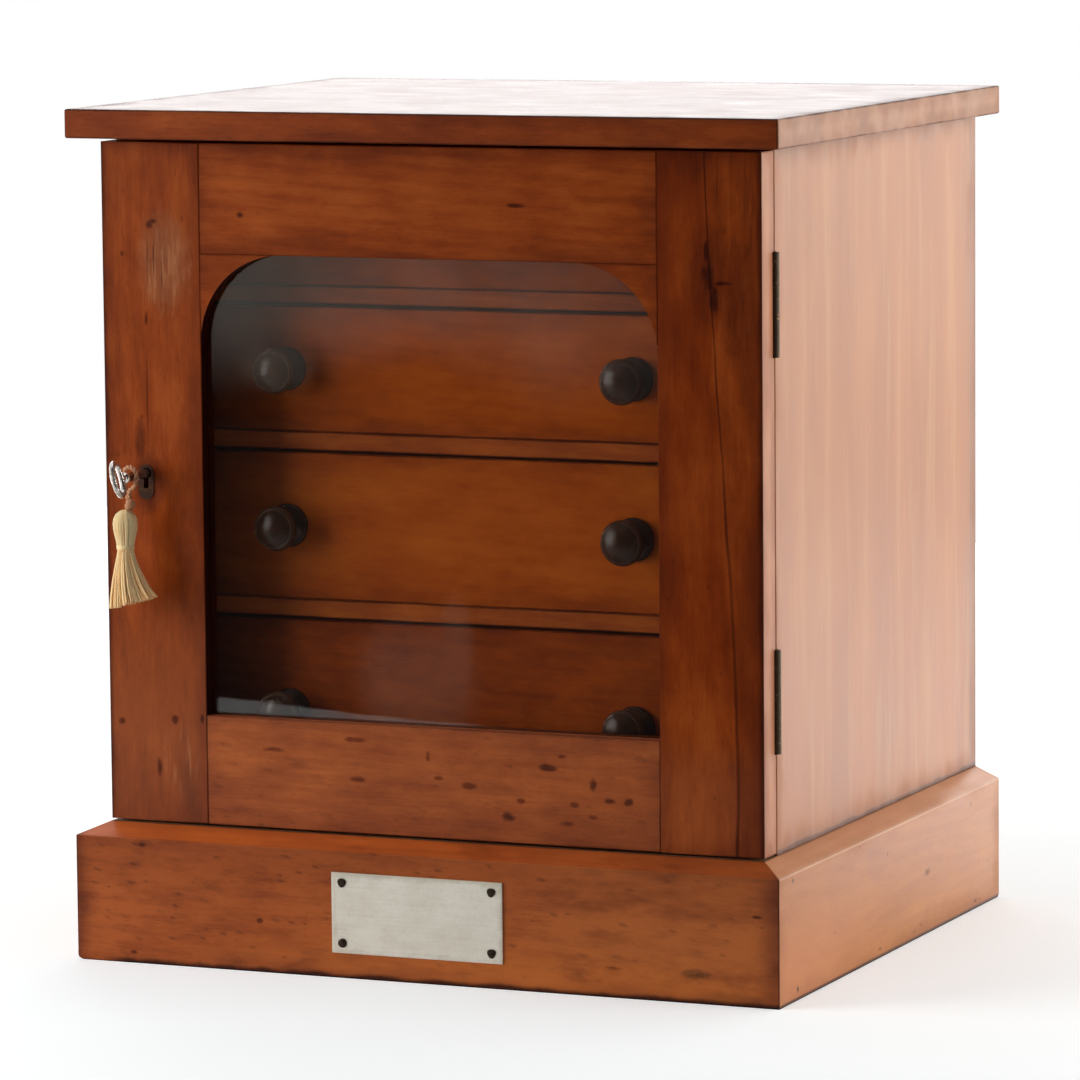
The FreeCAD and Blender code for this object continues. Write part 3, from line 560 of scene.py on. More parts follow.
class CABINET_OT_stage(bpy.types.Operator):
    """Sets the camera, the floor, the lamps and the white surround"""
    bl_idname = "cabinet.stage"
    bl_label = "Stage"

    def execute(self, context):
        stage = context.scene.cabinet_stage
        self.place_camera(context, stage)
        self.lay_floor(stage)
        self.hang_card()
        self.hang_lamps()
        self.light_surround(context)
        context.scene.view_settings.view_transform = "Standard"
        return {"FINISHED"}

    def place_camera(self, context, stage):
        level = math.cos(stage.elevation)
        back = Vector((math.sin(stage.azimuth) * level, -math.cos(stage.azimuth) * level,
                       math.sin(stage.elevation)))
        right = Vector((math.cos(stage.azimuth), math.sin(stage.azimuth), 0.0))
        up = back.cross(right)
        sight_x = right * math.cos(stage.roll) + up * math.sin(stage.roll)
        sight_y = up * math.cos(stage.roll) - right * math.sin(stage.roll)
        turn = Matrix((sight_x, sight_y, back)).transposed()
        spot = Vector(stage.target) + back * stage.distance
        bpy.ops.object.camera_add(location=spot, rotation=turn.to_euler())
        camera = context.object
        camera.name = "camera"
        camera.data.lens = stage.lens
        camera.data.sensor_width = 36.0
        camera.data.clip_end = 50.0
        context.scene.camera = camera

    def lay_floor(self, stage):
        """White paper, whose ragged front edge shows only in reflections."""
        bpy.ops.mesh.primitive_plane_add(size=1.0)
        floor = bpy.context.object
        floor.name = "floor"
        bpy.ops.object.mode_set(mode="EDIT")
        bpy.ops.mesh.select_all(action="SELECT")
        bpy.ops.transform.resize(value=(4.0, stage.floor_back - stage.floor_front, 1.0))
        bpy.ops.transform.translate(value=(0.0, (stage.floor_back + stage.floor_front) / 2, 0.0))
        bpy.ops.object.mode_set(mode="OBJECT")
        material, surface, place = blank_material("floor_paper")
        x, y, _ = parts_of(place)
        path = place.node("ShaderNodeLightPath", None, None, "Is Camera Ray")
        glossy = path.output("Is Glossy Ray")
        mirrored = most(glossy, path.output("Is Transmission Ray"))
        crumple = uneven(place, (1, 2, 0), (9, 24, 1), 4)
        folds = patches(place, (4, 2, 0), (16, 70, 1), 3)
        sheet = rise(y, -0.86, -0.89) * (0.03 + folds * 0.36)
        seen = path * 0.37 + mirrored * (0.1 + rise(y, -0.1, 0.5) * 2.6 + sheet)
        away = most(glossy * rise(y, -0.45, -0.7), path.output("Is Diffuse Ray") * rise(y, -0.2, -0.5))
        feed(surface, Base_Color=mixed((0.845, 0.872, 0.888), (0.3, 0.3, 0.3), away), Roughness=0.9,
             Specular_IOR_Level=0.0, Emission_Color=mixed((0.0, 0.0, 0.0), (0.96, 1.01, 1.04), seen * 0.25),
             Emission_Strength=4.0)
        paper_edge = -0.885 - rise(x + crumple * 0.08, -0.28, -0.54) * 0.07 + crumple * 0.05
        beyond = glossy * rise(y - paper_edge, 0.004, -0.006)
        paper = Signal(place.tree, surface.outputs["BSDF"])
        show(layered(paper, place.node("ShaderNodeBsdfTransparent"), beyond))
        floor.data.materials.append(material)

    def hang_card(self):
        """A pale card out of view, whose reflection hazes the top of the pane."""
        bpy.ops.mesh.primitive_plane_add(size=1.0)
        card = bpy.context.object
        card.name = "reflector_card"
        stand = Matrix.Rotation(math.pi / 2, 4, "X") @ Matrix.Diagonal((0.9, 0.5, 1.0, 1.0))
        card.data.transform(Matrix.Translation((-0.5, -1.05, 0.42)) @ stand)
        material, _, place = blank_material("reflector_paper")
        x, _, z = parts_of(place)
        wander = uneven(place, (3, 1, 2), (7, 7, 7))
        fade = rise(x + wander * 0.1, -0.16, -0.52)
        tilted = place.node("ShaderNodeMapping", None, {"Vector": place, "Rotation": (0.0, 0.3, 0.0)})
        folds = uneven(tilted, (2, 0, 6), (26, 26, 2.5))
        upper = rise(z + wander * 0.07 - fade * 0.02, 0.175, 0.245)
        strength = (0.25 + fade * 0.7) * upper * (1 + folds * 1.1)
        glow = {"Color": (1.0, 0.97, 0.86, 1.0), "Strength": strength}
        show(place.node("ShaderNodeEmission", None, glow))
        card.data.materials.append(material)
        card.visible_camera = False
        card.visible_diffuse = False
        card.visible_transmission = False
        card.visible_shadow = False

    def hang_lamps(self):
        """Five area lamps, each by its name, place, target, width, height, power and colour."""
        lamps = [
            ("lamp_back_right", (1.2, 2.0, 0.75), (0.17, 0.0, 0.2), 2.2, 1.5, 30.0, (1.0, 0.96, 0.88)),
            ("lamp_back_left", (-1.0, 2.3, 0.9), (0.0, 0.0, 0.4), 2.2, 1.8, 36.0, (1.0, 1.0, 1.0)),
            ("lamp_right", (2.3, 0.45, 0.5), (0.17, 0.0, 0.1), 1.2, 1.2, 35.0, (1.0, 0.98, 0.94)),
            ("lamp_top", (-0.3, -0.5, 2.2), (0.0, 0.0, 0.2), 1.6, 1.6, 8.0, (1.0, 0.99, 0.97)),
            ("lamp_front_left", (-0.95, -0.75, 0.42), (-0.02, -0.15, 0.15), 0.9, 0.8, 11.2,
             (1.0, 0.97, 0.93)),
        ]
        for name, place, target, width, height, power, colour in lamps:
            towards = Vector(target) - Vector(place)
            turn = towards.to_track_quat("-Z", "Y").to_euler()
            bpy.ops.object.light_add(type="AREA", location=place, rotation=turn)
            lamp = bpy.context.object
            lamp.name = name
            lamp.data.shape = "RECTANGLE"
            lamp.data.size = width
            lamp.data.size_y = height
            lamp.data.energy = power
            lamp.data.color = colour
            lamp.visible_camera = False
            lamp.visible_glossy = name != "lamp_front_left"

    def light_surround(self, context):
        world = bpy.data.worlds.new("surround")
        context.scene.world = world
        world.use_nodes = True
        tree = world.node_tree
        tree.nodes.clear()
        output = tree.nodes.new("ShaderNodeOutputWorld")
        coordinates = tree.nodes.new("ShaderNodeTexCoord")
        way = Signal(tree, coordinates.outputs["Generated"])
        behind = rise(parts_of(way)[1], -0.1, 0.3)
        path = way.node("ShaderNodeLightPath", None, None, "Is Camera Ray")
        straight = path.output("Is Transmission Ray") * (1 - least(path.output("Glossy Depth"), 1.0))
        clear = most(path, straight)
        studio = 0.025 + most(behind, rise(parts_of(way)[0], -0.55, -0.85)) * 0.95
        plain = 0.12
        glossy = most(path.output("Is Glossy Ray"), path.output("Is Transmission Ray"))
        strength = clear + (1 - clear) * (glossy * studio + (1 - glossy) * plain)
        lit = way.node("ShaderNodeBackground", None, {"Color": (1.0, 1.0, 1.0, 1.0), "Strength": strength})
        tree.links.new(lit.socket, output.inputs["Surface"])


def tones_of(kind):
    """The dark, the middle and the pale tone of one kind of wood."""
    settings = bpy.context.scene.cabinet_cedar
    return [getattr(settings, kind + shade) for shade in ("dark", "middle", "pale")]


def cedar(node, seed, grain, box=None, tones="", **choices):
    """Polished cedar for a board, over its own box or another one."""
    low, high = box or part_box(node)
    polish = bpy.context.scene.cabinet_cedar.polish
    return wood(node + "_cedar", low, high, grain, seed, tones_of(tones), polish, **choices)


def polished(node, body, ease, seed, grain, knocked=0.0, **choices):
    """A board of polished cedar with worn arrises, which stands for its node."""
    eased_board(node, body, cedar(node, seed, grain, **choices), ease, knocked)


def plain_wood(node, seed, grain, **choices):
    """Gives a node inside the cabinet its unpolished wood."""
    low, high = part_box(node)
    sawn_roughness = 0.62
    finish = wood(node + "_wood", low, high, grain, seed, tones_of("inner_"), sawn_roughness, figure=1.4,
                  **choices)
    paint_node(node, finish)


def dusted(colour, share):
    """Hazes a colour with dull old dust."""
    return mixed(colour, (0.42, 0.2, 0.11), share)


def faded_end(place, colour, name, faded):
    """Fades the end of a board that faces the window."""
    low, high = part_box(name)
    x, y, _ = parts_of(place)
    end = rise(x, high.x - 0.0008, high.x - 0.0002) * rise(y, low.y, low.y + 0.0006)
    return mixed(colour, faded, end * 0.8)


def dark_arris(place, colour, edge, reach):
    """Dirt on the door's face along its outer arris."""
    x, y, _ = parts_of(place)
    patchy = uneven(place, (1, 5, 3), (90, 90, 40), 3)
    off = most(x - edge, edge - x) + patchy * 0.0025
    on_face = rise(y, DOOR_FRONT + 0.0015, DOOR_FRONT + 0.0003)
    return darkened(colour, on_face * rise(off, reach, 0.0002) * 0.85, (0.3, 0.23, 0.28))


def top_marks(place, colour):
    """The faded right end of the top, and the darker wood of its upper face."""
    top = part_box("top_board")[1].z
    colour = darkened(colour, rise(parts_of(place)[2], top - 0.0011, top - 0.0003), (0.5, 0.6, 0.7))
    return faded_end(place, colour, "top_board", (0.31, 0.12, 0.034))


def side_marks(place, colour):
    """Broad uneven fading, darker towards the top, painted shade along the top under the overhang, and grey
    dirt along the back and the foot of a side.
    """
    _, y, z = parts_of(place)
    low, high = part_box("right_side")
    clouds = uneven(place, (3, 1, 2), (17, 17, 7), 3)
    patchy = uneven(place, (1, 5, 3), (60, 60, 60), 4)
    colour = mixed(colour, (0.44, 0.175, 0.05), rise(clouds, -0.05, 0.25) * 0.4)
    colour = mixed(colour, (0.25, 0.115, 0.06), rise(clouds, 0.05, -0.25) * 0.15)
    streaks = patches(place, (5, 3, 1), (62, 62, 5.5), 4, roughness=0.62)
    colour = mixed(colour, (0.44, 0.225, 0.08), rise(streaks, 0.46, 0.72) * 0.4)
    colour = darkened(colour, 0.4 + rise(z, 0.28, 0.38) * 0.6, (0.92, 0.86, 0.74))
    # painted shade of the top's overhang along the upper edge; the back and the foot get grey dirt
    dirt = rise(z + patchy * 0.016, high.z - 0.014, high.z)
    dirt = most(dirt, rise(y + patchy * 0.02, high.y - 0.02, high.y))
    dirt = most(dirt, rise(z - patchy * 0.008, low.z + 0.0078, low.z + 0.0008))
    colour = mixed(colour, (0.22, 0.11, 0.07), dirt * 0.45)
    foot = rise(z - patchy * 0.004, low.z + 0.0032, low.z + 0.001)
    return darkened(colour, foot * 0.8, (0.3, 0.25, 0.25))


def plinth_front_marks(place, colour):
    """The bevel brightened with painted light, the front darker to the left and lighter to the right, worn
    golden low and darker high, grime at its left and right ends, a painted shadow along the foot, and the
    worst of the flecks and bruises.
    """
    x, _, z = parts_of(place)
    colour = dusted(colour, 0.1)
    bevel = rise(z, BEVEL_LOW, BEVEL_HIGH)
    below = rise(z, BEVEL_HIGH, BEVEL_LOW)
    # painted light: the bevel made bright orange as if lit from above, most at the left
    colour = mixed(colour, (0.62, 0.13, 0.022), bevel * (0.75 - rise(x, 0.0, 0.15) * 0.35))
    colour = darkened(colour, rise(x, 0.0, -0.1) * below * 0.6, (0.85, 0.76, 0.62))
    colour = mixed(colour, (0.6, 0.2, 0.05), rise(x, 0.03, 0.12) * below * 0.24)
    ragged = uneven(place, (4, 2, 1), (260, 260, 420), 3) * 1.8
    flecks = [(-152, 60.4, 2.2, 1.3), (-157.6, 5.7, 2, 1), (-87.3, 26, 1.9, 1.4), (102.5, 14.6, 4.5, 0.9),
              (177.5, 44.4, 3, 0.9)]
    colour = spotted(place, colour, flecks, ragged, (0.3, 0.22, 0.2))
    bruises = [(145.8, 14.4, 8, 2.4), (163.3, 2.8, 16, 4.2)]
    colour = spotted(place, colour, bruises, ragged, (0.2, 0.28, 0.45))
    patchy = uneven(place, (1, 5, 3), (60, 60, 30), 3)
    smudged = uneven(place, (7, 2, 3), (20, 40, 60), 4, 0.6)
    low_half = rise(z + smudged * 0.03, 0.026, 0.006)
    colour = mixed(colour, (0.62, 0.17, 0.03), low_half * rise(x, -0.15, 0.02) * 0.6)
    high_half = rise(z + smudged * 0.04, 0.03, 0.056) * rise(z, 0.0636, BEVEL_LOW)
    colour = darkened(colour, high_half * 0.4, (0.6, 0.5, 0.5))
    colour = darkened(colour, rise(smudged, 0.0, 0.2) * 0.6, (0.5, 0.42, 0.44))
    # painted shadow: a dark line along the foot, where the plinth meets the floor
    foot = rise(z + patchy * 0.004, 0.0034, 0.0008)
    colour = darkened(colour, foot * rise(x, -0.178, -0.16), (0.12, 0.08, 0.07))
    colour = darkened(colour, rise(x + patchy * 0.012, -0.179, -0.189) * 0.7, (0.45, 0.36, 0.42))
    return darkened(colour, rise(x + patchy * 0.014, 0.172, 0.189) * 0.7, (0.5, 0.42, 0.55))


def plinth_right_marks(place, colour):
    """Four nail heads, the bevel lightened with painted light, its pale arris of wear and painted highlight,
    the wood lighter low towards the front, and a painted shadow line along the foot.
    """
    _, y, z = parts_of(place)
    # painted light: the bevel made lighter as if lit from above
    colour = mixed(colour, (0.6, 0.23, 0.075), rise(z, BEVEL_LOW, BEVEL_HIGH) * 0.7)
    # the pale arris: wear, and a painted highlight along it
    arris = 0.0632
    colour = mixed(colour, (0.62, 0.36, 0.22), rise(most(z - arris, arris - z), 0.0011, 0.0003) * 0.45)
    colour = mixed(colour, (0.62, 0.25, 0.13), rise(z, 0.055, 0.015) * rise(y, 0.0, -0.13) * 0.45)
    ragged = uneven(place, (4, 2, 1), (700, 700, 700)) * 1.2
    nails = [(-144.3, 60, 1.2, 1.2), (-138.1, 5.6, 1.4, 1.4), (-10, 51, 0.8, 0.7), (118, 56.5, 0.9, 0.9)]
    colour = spotted(place, colour, nails, ragged, (0.16, 0.13, 0.13), ON_RIGHT)
    # painted shadow: a dark line along the foot, where the plinth meets the floor
    return darkened(colour, rise(z + ragged * 0.0006, 0.0024, 0.0008), (0.14, 0.1, 0.09))


def rail_marks(place, colour):
    """The dust on the rails between the drawers."""
    return dusted(colour, 0.1)


def drawer_marks(place, colour):
    """Painted shadow of the door's stile over the left end of a drawer's front, and a little dust."""
    # painted shadow cast by the door's left stile
    shaded = rise(parts_of(place)[0], -0.08, OPENING_LEFT)
    return darkened(dusted(colour, 0.02), shaded * 0.6, (0.3, 0.28, 0.28))


class CABINET_OT_carcass(bpy.types.Operator):
    """Gives the top, the sides and the plinth their polished cedar"""
    bl_idname = "cabinet.carcass"
    bl_label = "Carcass"

    def execute(self, context):
        ease = context.scene.cabinet_cedar.ease
        polished("top_board", "cabinet", ease, 11, ALONG_X, marks=top_marks)
        # the sides take the paler faded tones, which are partly painted light
        for seed, side in enumerate(("left_side", "right_side"), 12):
            polished(side, "cabinet", ease * 0.45, seed, ALONG_Z, tones="faded_", fine=0.15, mottled=0.25,
                     grime=0.5, line=0.5, marks=side_marks)
        worn = ease * 1.6
        knock = 0.0028
        # the plinth's tones are painted light, lightened as if lit from the white floor; its ends take the
        # faded tones, partly painted light
        polished("plinth_front", "cabinet", worn, 14, ALONG_X, knock, flecks=0.46, tone=0.38, figure=0.8,
                 mottled=1.5, fine=1.7, marks=plinth_front_marks)
        polished("plinth_right", "cabinet", worn, 15, ALONG_Y, knock, flecks=0.08, tones="faded_", tone=0.17,
                 fine=0.6, mottled=0.5, grime=0.6, marks=plinth_right_marks)
        polished("plinth_left", "cabinet", worn, 16, ALONG_Y, knock, flecks=0.12, tones="faded_", fine=0.6)
        tones = {"bottom_rail": 0.15, "lower_rail": 0.15, "middle_rail": 0.15, "upper_rail": -0.2,
                 "top_rail": -0.2}
        for seed, (node, tone) in enumerate(tones.items(), 20):
            paint_node(node, cedar(node, seed, ALONG_X, tones="warm_", tone=tone, gloss=0.05,
                                   marks=rail_marks))
        return {"FINISHED"}


class CABINET_OT_inside(bpy.types.Operator):
    """Gives the back, the base, the runners, stops and blocks their plain wood"""
    bl_idname = "cabinet.inside"
    bl_label = "Inside"

    def execute(self, context):
        boards = {"back_panel": ALONG_Z, "base_board": ALONG_X, "plinth_back": ALONG_X}
        for seed, (node, grain) in enumerate(boards.items(), 31):
            plain_wood(node, seed, grain)
        hidden = {"plinth_blocks": ALONG_Z, "right_runners": ALONG_Y, "left_runners": ALONG_Y,
                  "drawer_stops": ALONG_X}
        for seed, (node, grain) in enumerate(hidden.items(), 34):
            plain_wood(node, seed, grain, grime=0.0)
        return {"FINISHED"}


def outside(marks):
    """A door board's marks, kept off its inner face."""
    def kept(place, colour):
        outer = rise(parts_of(place)[1], DOOR_BACK - 0.0003, DOOR_BACK - 0.0007)
        return mixed(colour, marks(place, colour), outer)
    return kept


def hinge_stile_marks(place, colour):
    """A torn knot, and the dark line of the heartwood that curves down from it."""
    x, _, z = parts_of(place)
    wander = uneven(place, (3, 1, 2), (70, 70, 28), 3)
    up = z * 10.0               # decimetres, for the curve of the heartwood's line
    heart = 0.158277 + up * (0.00947 + up * (up * 0.000731 - 0.005992))
    past = x - heart + wander * 0.002
    lower = rise(z, 0.3, 0.2)
    colour = darkened(colour, rise(past, 0.002, -0.004) * rise(z, 0.12, 0.17), (0.78, 0.66, 0.5))
    colour = dusted(colour, rise(z, 0.135, 0.1) * 0.1)
    colour = darkened(colour, rise(past, -0.0005, 0.002) * (0.15 + lower * 0.45), (0.6, 0.5, 0.5))
    curls = patches(place, (2, 1, 4), (300, 300, 24), 3, distortion=1.2)
    curls = rise(curls, 0.5, 0.68)
    colour = darkened(colour, curls * rise(past, 0.0, 0.003) * rise(z, 0.3, 0.34) * 0.6, (0.5, 0.45, 0.45))
    off = most(past, 0 - past)
    line = rise(off, 0.0007 + lower * 0.0008, 0.0001) * (0.85 + wander)
    colour = darkened(colour, line, (0.28, 0.21, 0.21))
    ragged = uneven(place, (4, 2, 1), (300, 300, 200), 4) * 2.2
    halo = [(149, 352, 12, 26), (163.5, 338, 9, 30)]
    colour = darkened(colour, blots(place, halo, ragged * 0.4) * 0.9, (0.5, 0.42, 0.4))
    knot = [(148.2, 351.5, 3.4, 8.5), (155.5, 348.2, 4.5, 1.1), (151.2, 340, 2.4, 6.5),
            (147.5, 362.5, 1.2, 6)]
    colour = spotted(place, colour, knot, ragged, (0.33, 0.25, 0.23))
    colour = dark_arris(place, colour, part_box("hinge_stile")[1].x, 0.0036)
    return faded_end(place, colour, "hinge_stile", (0.5, 0.22, 0.11))


def lock_stile_marks(place, colour):
    """Small knots, cracks, a rubbed patch, scratches near the foot and the dirt round the keyhole."""
    ragged = uneven(place, (4, 2, 1), (420, 420, 240), 3) * 1.8
    rubbed = blots(place, [(-141.4, 353, 14, 24)], ragged * 0.6)
    colour = mixed(colour, (0.25, 0.115, 0.055), rubbed * 0.4)
    colour = dusted(colour, rise(parts_of(place)[2], 0.22, 0.1) * 0.16)
    scuffed = blots(place, [(-141.4, 348, 13, 22), (-137.3, 102.8, 9, 17)], ragged)
    scratches = rise(patches(place, (2, 2, 7), (420, 420, 60), 3), 0.44, 0.66)
    colour = mixed(colour, (0.48, 0.19, 0.08), scuffed * scratches * 0.5)
    knots = [(-149.7, 370.2, 1.9, 2.3), (-147.7, 372.3, 2.2, 1.1), (-164.9, 355.7, 1, 1.4),
             (-152.2, 323.2, 1, 3.4), (-139.5, 122.3, 2.1, 2.2), (-148.7, 98, 1.5, 4.6),
             (-169.2, 120.3, 1.8, 1.9), (-124.5, 123.5, 1, 2.6)]
    colour = spotted(place, colour, knots, ragged, (0.34, 0.25, 0.24))
    cracks = [(-151, 352, 0.45, 14), (-147.5, 353.5, 0.45, 10), (-143.2, 347, 0.4, 8),
              (-152.2, 284, 0.5, 24)]
    colour = spotted(place, colour, cracks, ragged * 0.6, (0.5, 0.4, 0.38))
    handled = blots(place, [(-152.5, 241, 8.5, 16), (-156.5, 262, 3.2, 12)], ragged * 0.5)
    colour = darkened(colour, handled, (0.42, 0.34, 0.3))
    colour = dark_arris(place, colour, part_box("lock_stile")[0].x, 0.0032)
    return shaded_reveal(place, colour)


def shaded_reveal(place, colour):
    """Painted shade on the opening's inner faces."""
    edge_face = place.node("ShaderNodeAttribute", {"attribute_name": "edge_face"}, None, "Fac")
    inside = rise(parts_of(place)[0], OPENING_LEFT - 0.002, OPENING_LEFT - 0.0006)
    return darkened(colour, rise(edge_face, 0.5, 0.9) * inside, (0.16, 0.11, 0.09))


def bead_marks(place, colour):
    """Painted shade on the beads' edges, against the glass."""
    edge = rise(parts_of(place)[1], DOOR_BACK - 0.001, DOOR_BACK - 0.0016)
    return darkened(colour, edge, (0.16, 0.11, 0.09))


def top_rail_marks(place, colour):
    """One long fleck and one dot."""
    ragged = uneven(place, (4, 2, 1), (260, 260, 420), 3) * 1.4
    flecks = [(48.2, 383.5, 4.8, 1.2), (-99.5, 376.3, 1.9, 1.5)]
    return spotted(place, colour, flecks, ragged, (0.26, 0.18, 0.17))


def bottom_rail_marks(place, colour):
    """The gum flecks of the bottom rail, thickest at its right."""
    ragged = uneven(place, (4, 2, 1), (300, 300, 420), 3) * 2.0
    colour = dusted(colour, 0.12)
    flecks = [(-40.7, 117.3, 6.2, 1.3), (-84.6, 110, 6.2, 1.2), (-39.5, 97.6, 4, 1.4),
              (-1.2, 110.9, 1.2, 2.7), (4.5, 100.5, 2.5, 1), (20.8, 97.5, 4.2, 1.8), (48.4, 91.6, 2.4, 1.4),
              (70.4, 114.8, 2.2, 1), (77, 91.2, 2.6, 1.5), (86.4, 85.7, 2.8, 1.3), (73, 81.7, 4, 1.3)]
    colour = spotted(place, colour, flecks, ragged, (0.44, 0.32, 0.26))
    darker = [(62.9, 108.9, 4.6, 1.8), (41.9, 83.5, 3.6, 2.6), (86.7, 101.5, 2, 3.4),
              (95.6, 93.9, 2.9, 1.4), (105.4, 94, 2.6, 2.2)]
    return spotted(place, colour, darker, ragged, (0.26, 0.19, 0.18))


class CABINET_OT_door(bpy.types.Operator):
    """Gives the door's frame its polished cedar"""
    bl_idname = "cabinet.door"
    bl_label = "Door"

    def execute(self, context):
        ease = context.scene.cabinet_cedar.ease * 0.45
        # head spreads painted shade down from the top of each stile and of the top rail, the shadow of the
        # top board's overhang
        polished("lock_stile", "door", ease, 41, ALONG_Z, foot=0.035, head=0.012, flecks=0.05, tone=-0.03,
                 gloss=0.12, line=0.28, marks=outside(lock_stile_marks))
        polished("hinge_stile", "door", ease, 42, ALONG_Z, foot=0.012, head=0.014, flecks=0.06, line=0.3,
                 gloss=0.1, marks=outside(hinge_stile_marks))
        polished("door_top_rail", "door", ease, 43, ALONG_X, box=self.between_stiles("door_top_rail"),
                 head=0.008, gloss=0.12, line=0.3, marks=outside(top_rail_marks))
        # the bottom rail's tone is painted light, as if lit from the white floor
        polished("door_bottom_rail", "door", ease, 44, ALONG_X, box=self.between_stiles("door_bottom_rail"),
                 tone=0.26, flecks=0.32, foot=0.028, figure=0.7, mottled=1.3, fine=1.4, line=0.55,
                 marks=outside(bottom_rail_marks))
        polished("right_spandrel", "door", ease, 45, ALONG_X, gloss=0.12, line=0.35)
        polished("left_spandrel", "door", ease, 46, ALONG_X, gloss=0.12, line=0.35, marks=shaded_reveal)
        paint_node("glazing_beads", cedar("glazing_beads", 47, ALONG_Z, grime=0.0, marks=bead_marks))
        return {"FINISHED"}

    def between_stiles(self, node):
        """A rail's box without its tenons."""
        low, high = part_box(node)
        return Vector((OPENING_LEFT, low.y, low.z)), Vector((-OPENING_LEFT, high.y, high.z))


class CABINET_OT_glass(bpy.types.Operator):
    """Gives the pane its old sheet glass"""
    bl_idname = "cabinet.glass"
    bl_label = "Glass"

    def execute(self, context):
        material, surface, place = blank_material("sheet_glass")
        ripple = patches(place, (0, 0, 0), (9, 9, 5), 1)
        feed(surface, Base_Color=(0.97, 0.985, 0.975, 1.0), Roughness=0.0, IOR=1.5, Transmission_Weight=1.0)
        bumped(surface, ripple, 0.2, 0.0015)
        ragged = uneven(place, (2, 0, 5), (30, 30, 12), 3) * 1.6
        smears = [(-10, 145, 32, 30), (12, 160, 10, 28), (-85, 300, 20, 12)]
        wiped = blots(place, smears, ragged)
        film = place.node("ShaderNodeBsdfDiffuse", None, {"Color": (0.75, 0.62, 0.52, 1.0)})
        clear = Signal(place.tree, surface.outputs["BSDF"])
        dusty = layered(clear, film, wiped * 0.02 + 0.001)
        path = place.node("ShaderNodeLightPath", None, None, "Is Shadow Ray")
        through = most(path, path.output("Is Diffuse Ray"))
        open_way = place.node("ShaderNodeBsdfTransparent", None, {"Color": (0.93, 0.945, 0.94, 1.0)})
        show(layered(dusty, open_way, through))
        paint_node("glass_pane", material)
        return {"FINISHED"}


class CABINET_OT_drawers(bpy.types.Operator):
    """Gives the drawers' fronts, sides and bottoms their wood"""
    bl_idname = "cabinet.drawers"
    bl_label = "Drawers"

    def execute(self, context):
        ease = context.scene.cabinet_cedar.ease
        # the tones are painted light and shade: each front is made lighter or darker to the light that
        # reaches it behind the glass, the lowest darkest
        tones = {1: -0.2, 2: -0.03, 3: 0.07, 4: -0.26}
        for number in tones:
            name = "drawer_" + str(number)
            polished(name + "_front", name, ease, 50 + number, ALONG_X, tones="warm_", figure=0.7, fine=0.6,
                     gloss=0.05, tone=tones[number], marks=drawer_marks)
            plain_wood(name + "_sides", 60 + number, ALONG_Y, grime=0.0)
            plain_wood(name + "_bottom", 70 + number, ALONG_X)
        return {"FINISHED"}


class KnobSettings(bpy.types.PropertyGroup):
    base_radius: length_of("Base radius", "Disc against the drawer", 0.011)
    waist_radius: length_of("Waist radius", "Narrowest part", 0.0058)
    head_radius: length_of("Head radius", "Rim of the head", 0.0114)
    steps: IntProperty(name="Steps", description="Steps round each knob", default=64, min=12)
    stain: tone_of("Stain", "Dark stain of the knobs", (0.024, 0.009, 0.005))
    worn: tone_of("Worn stain", "Stain where hands have worn it", (0.1, 0.034, 0.016))


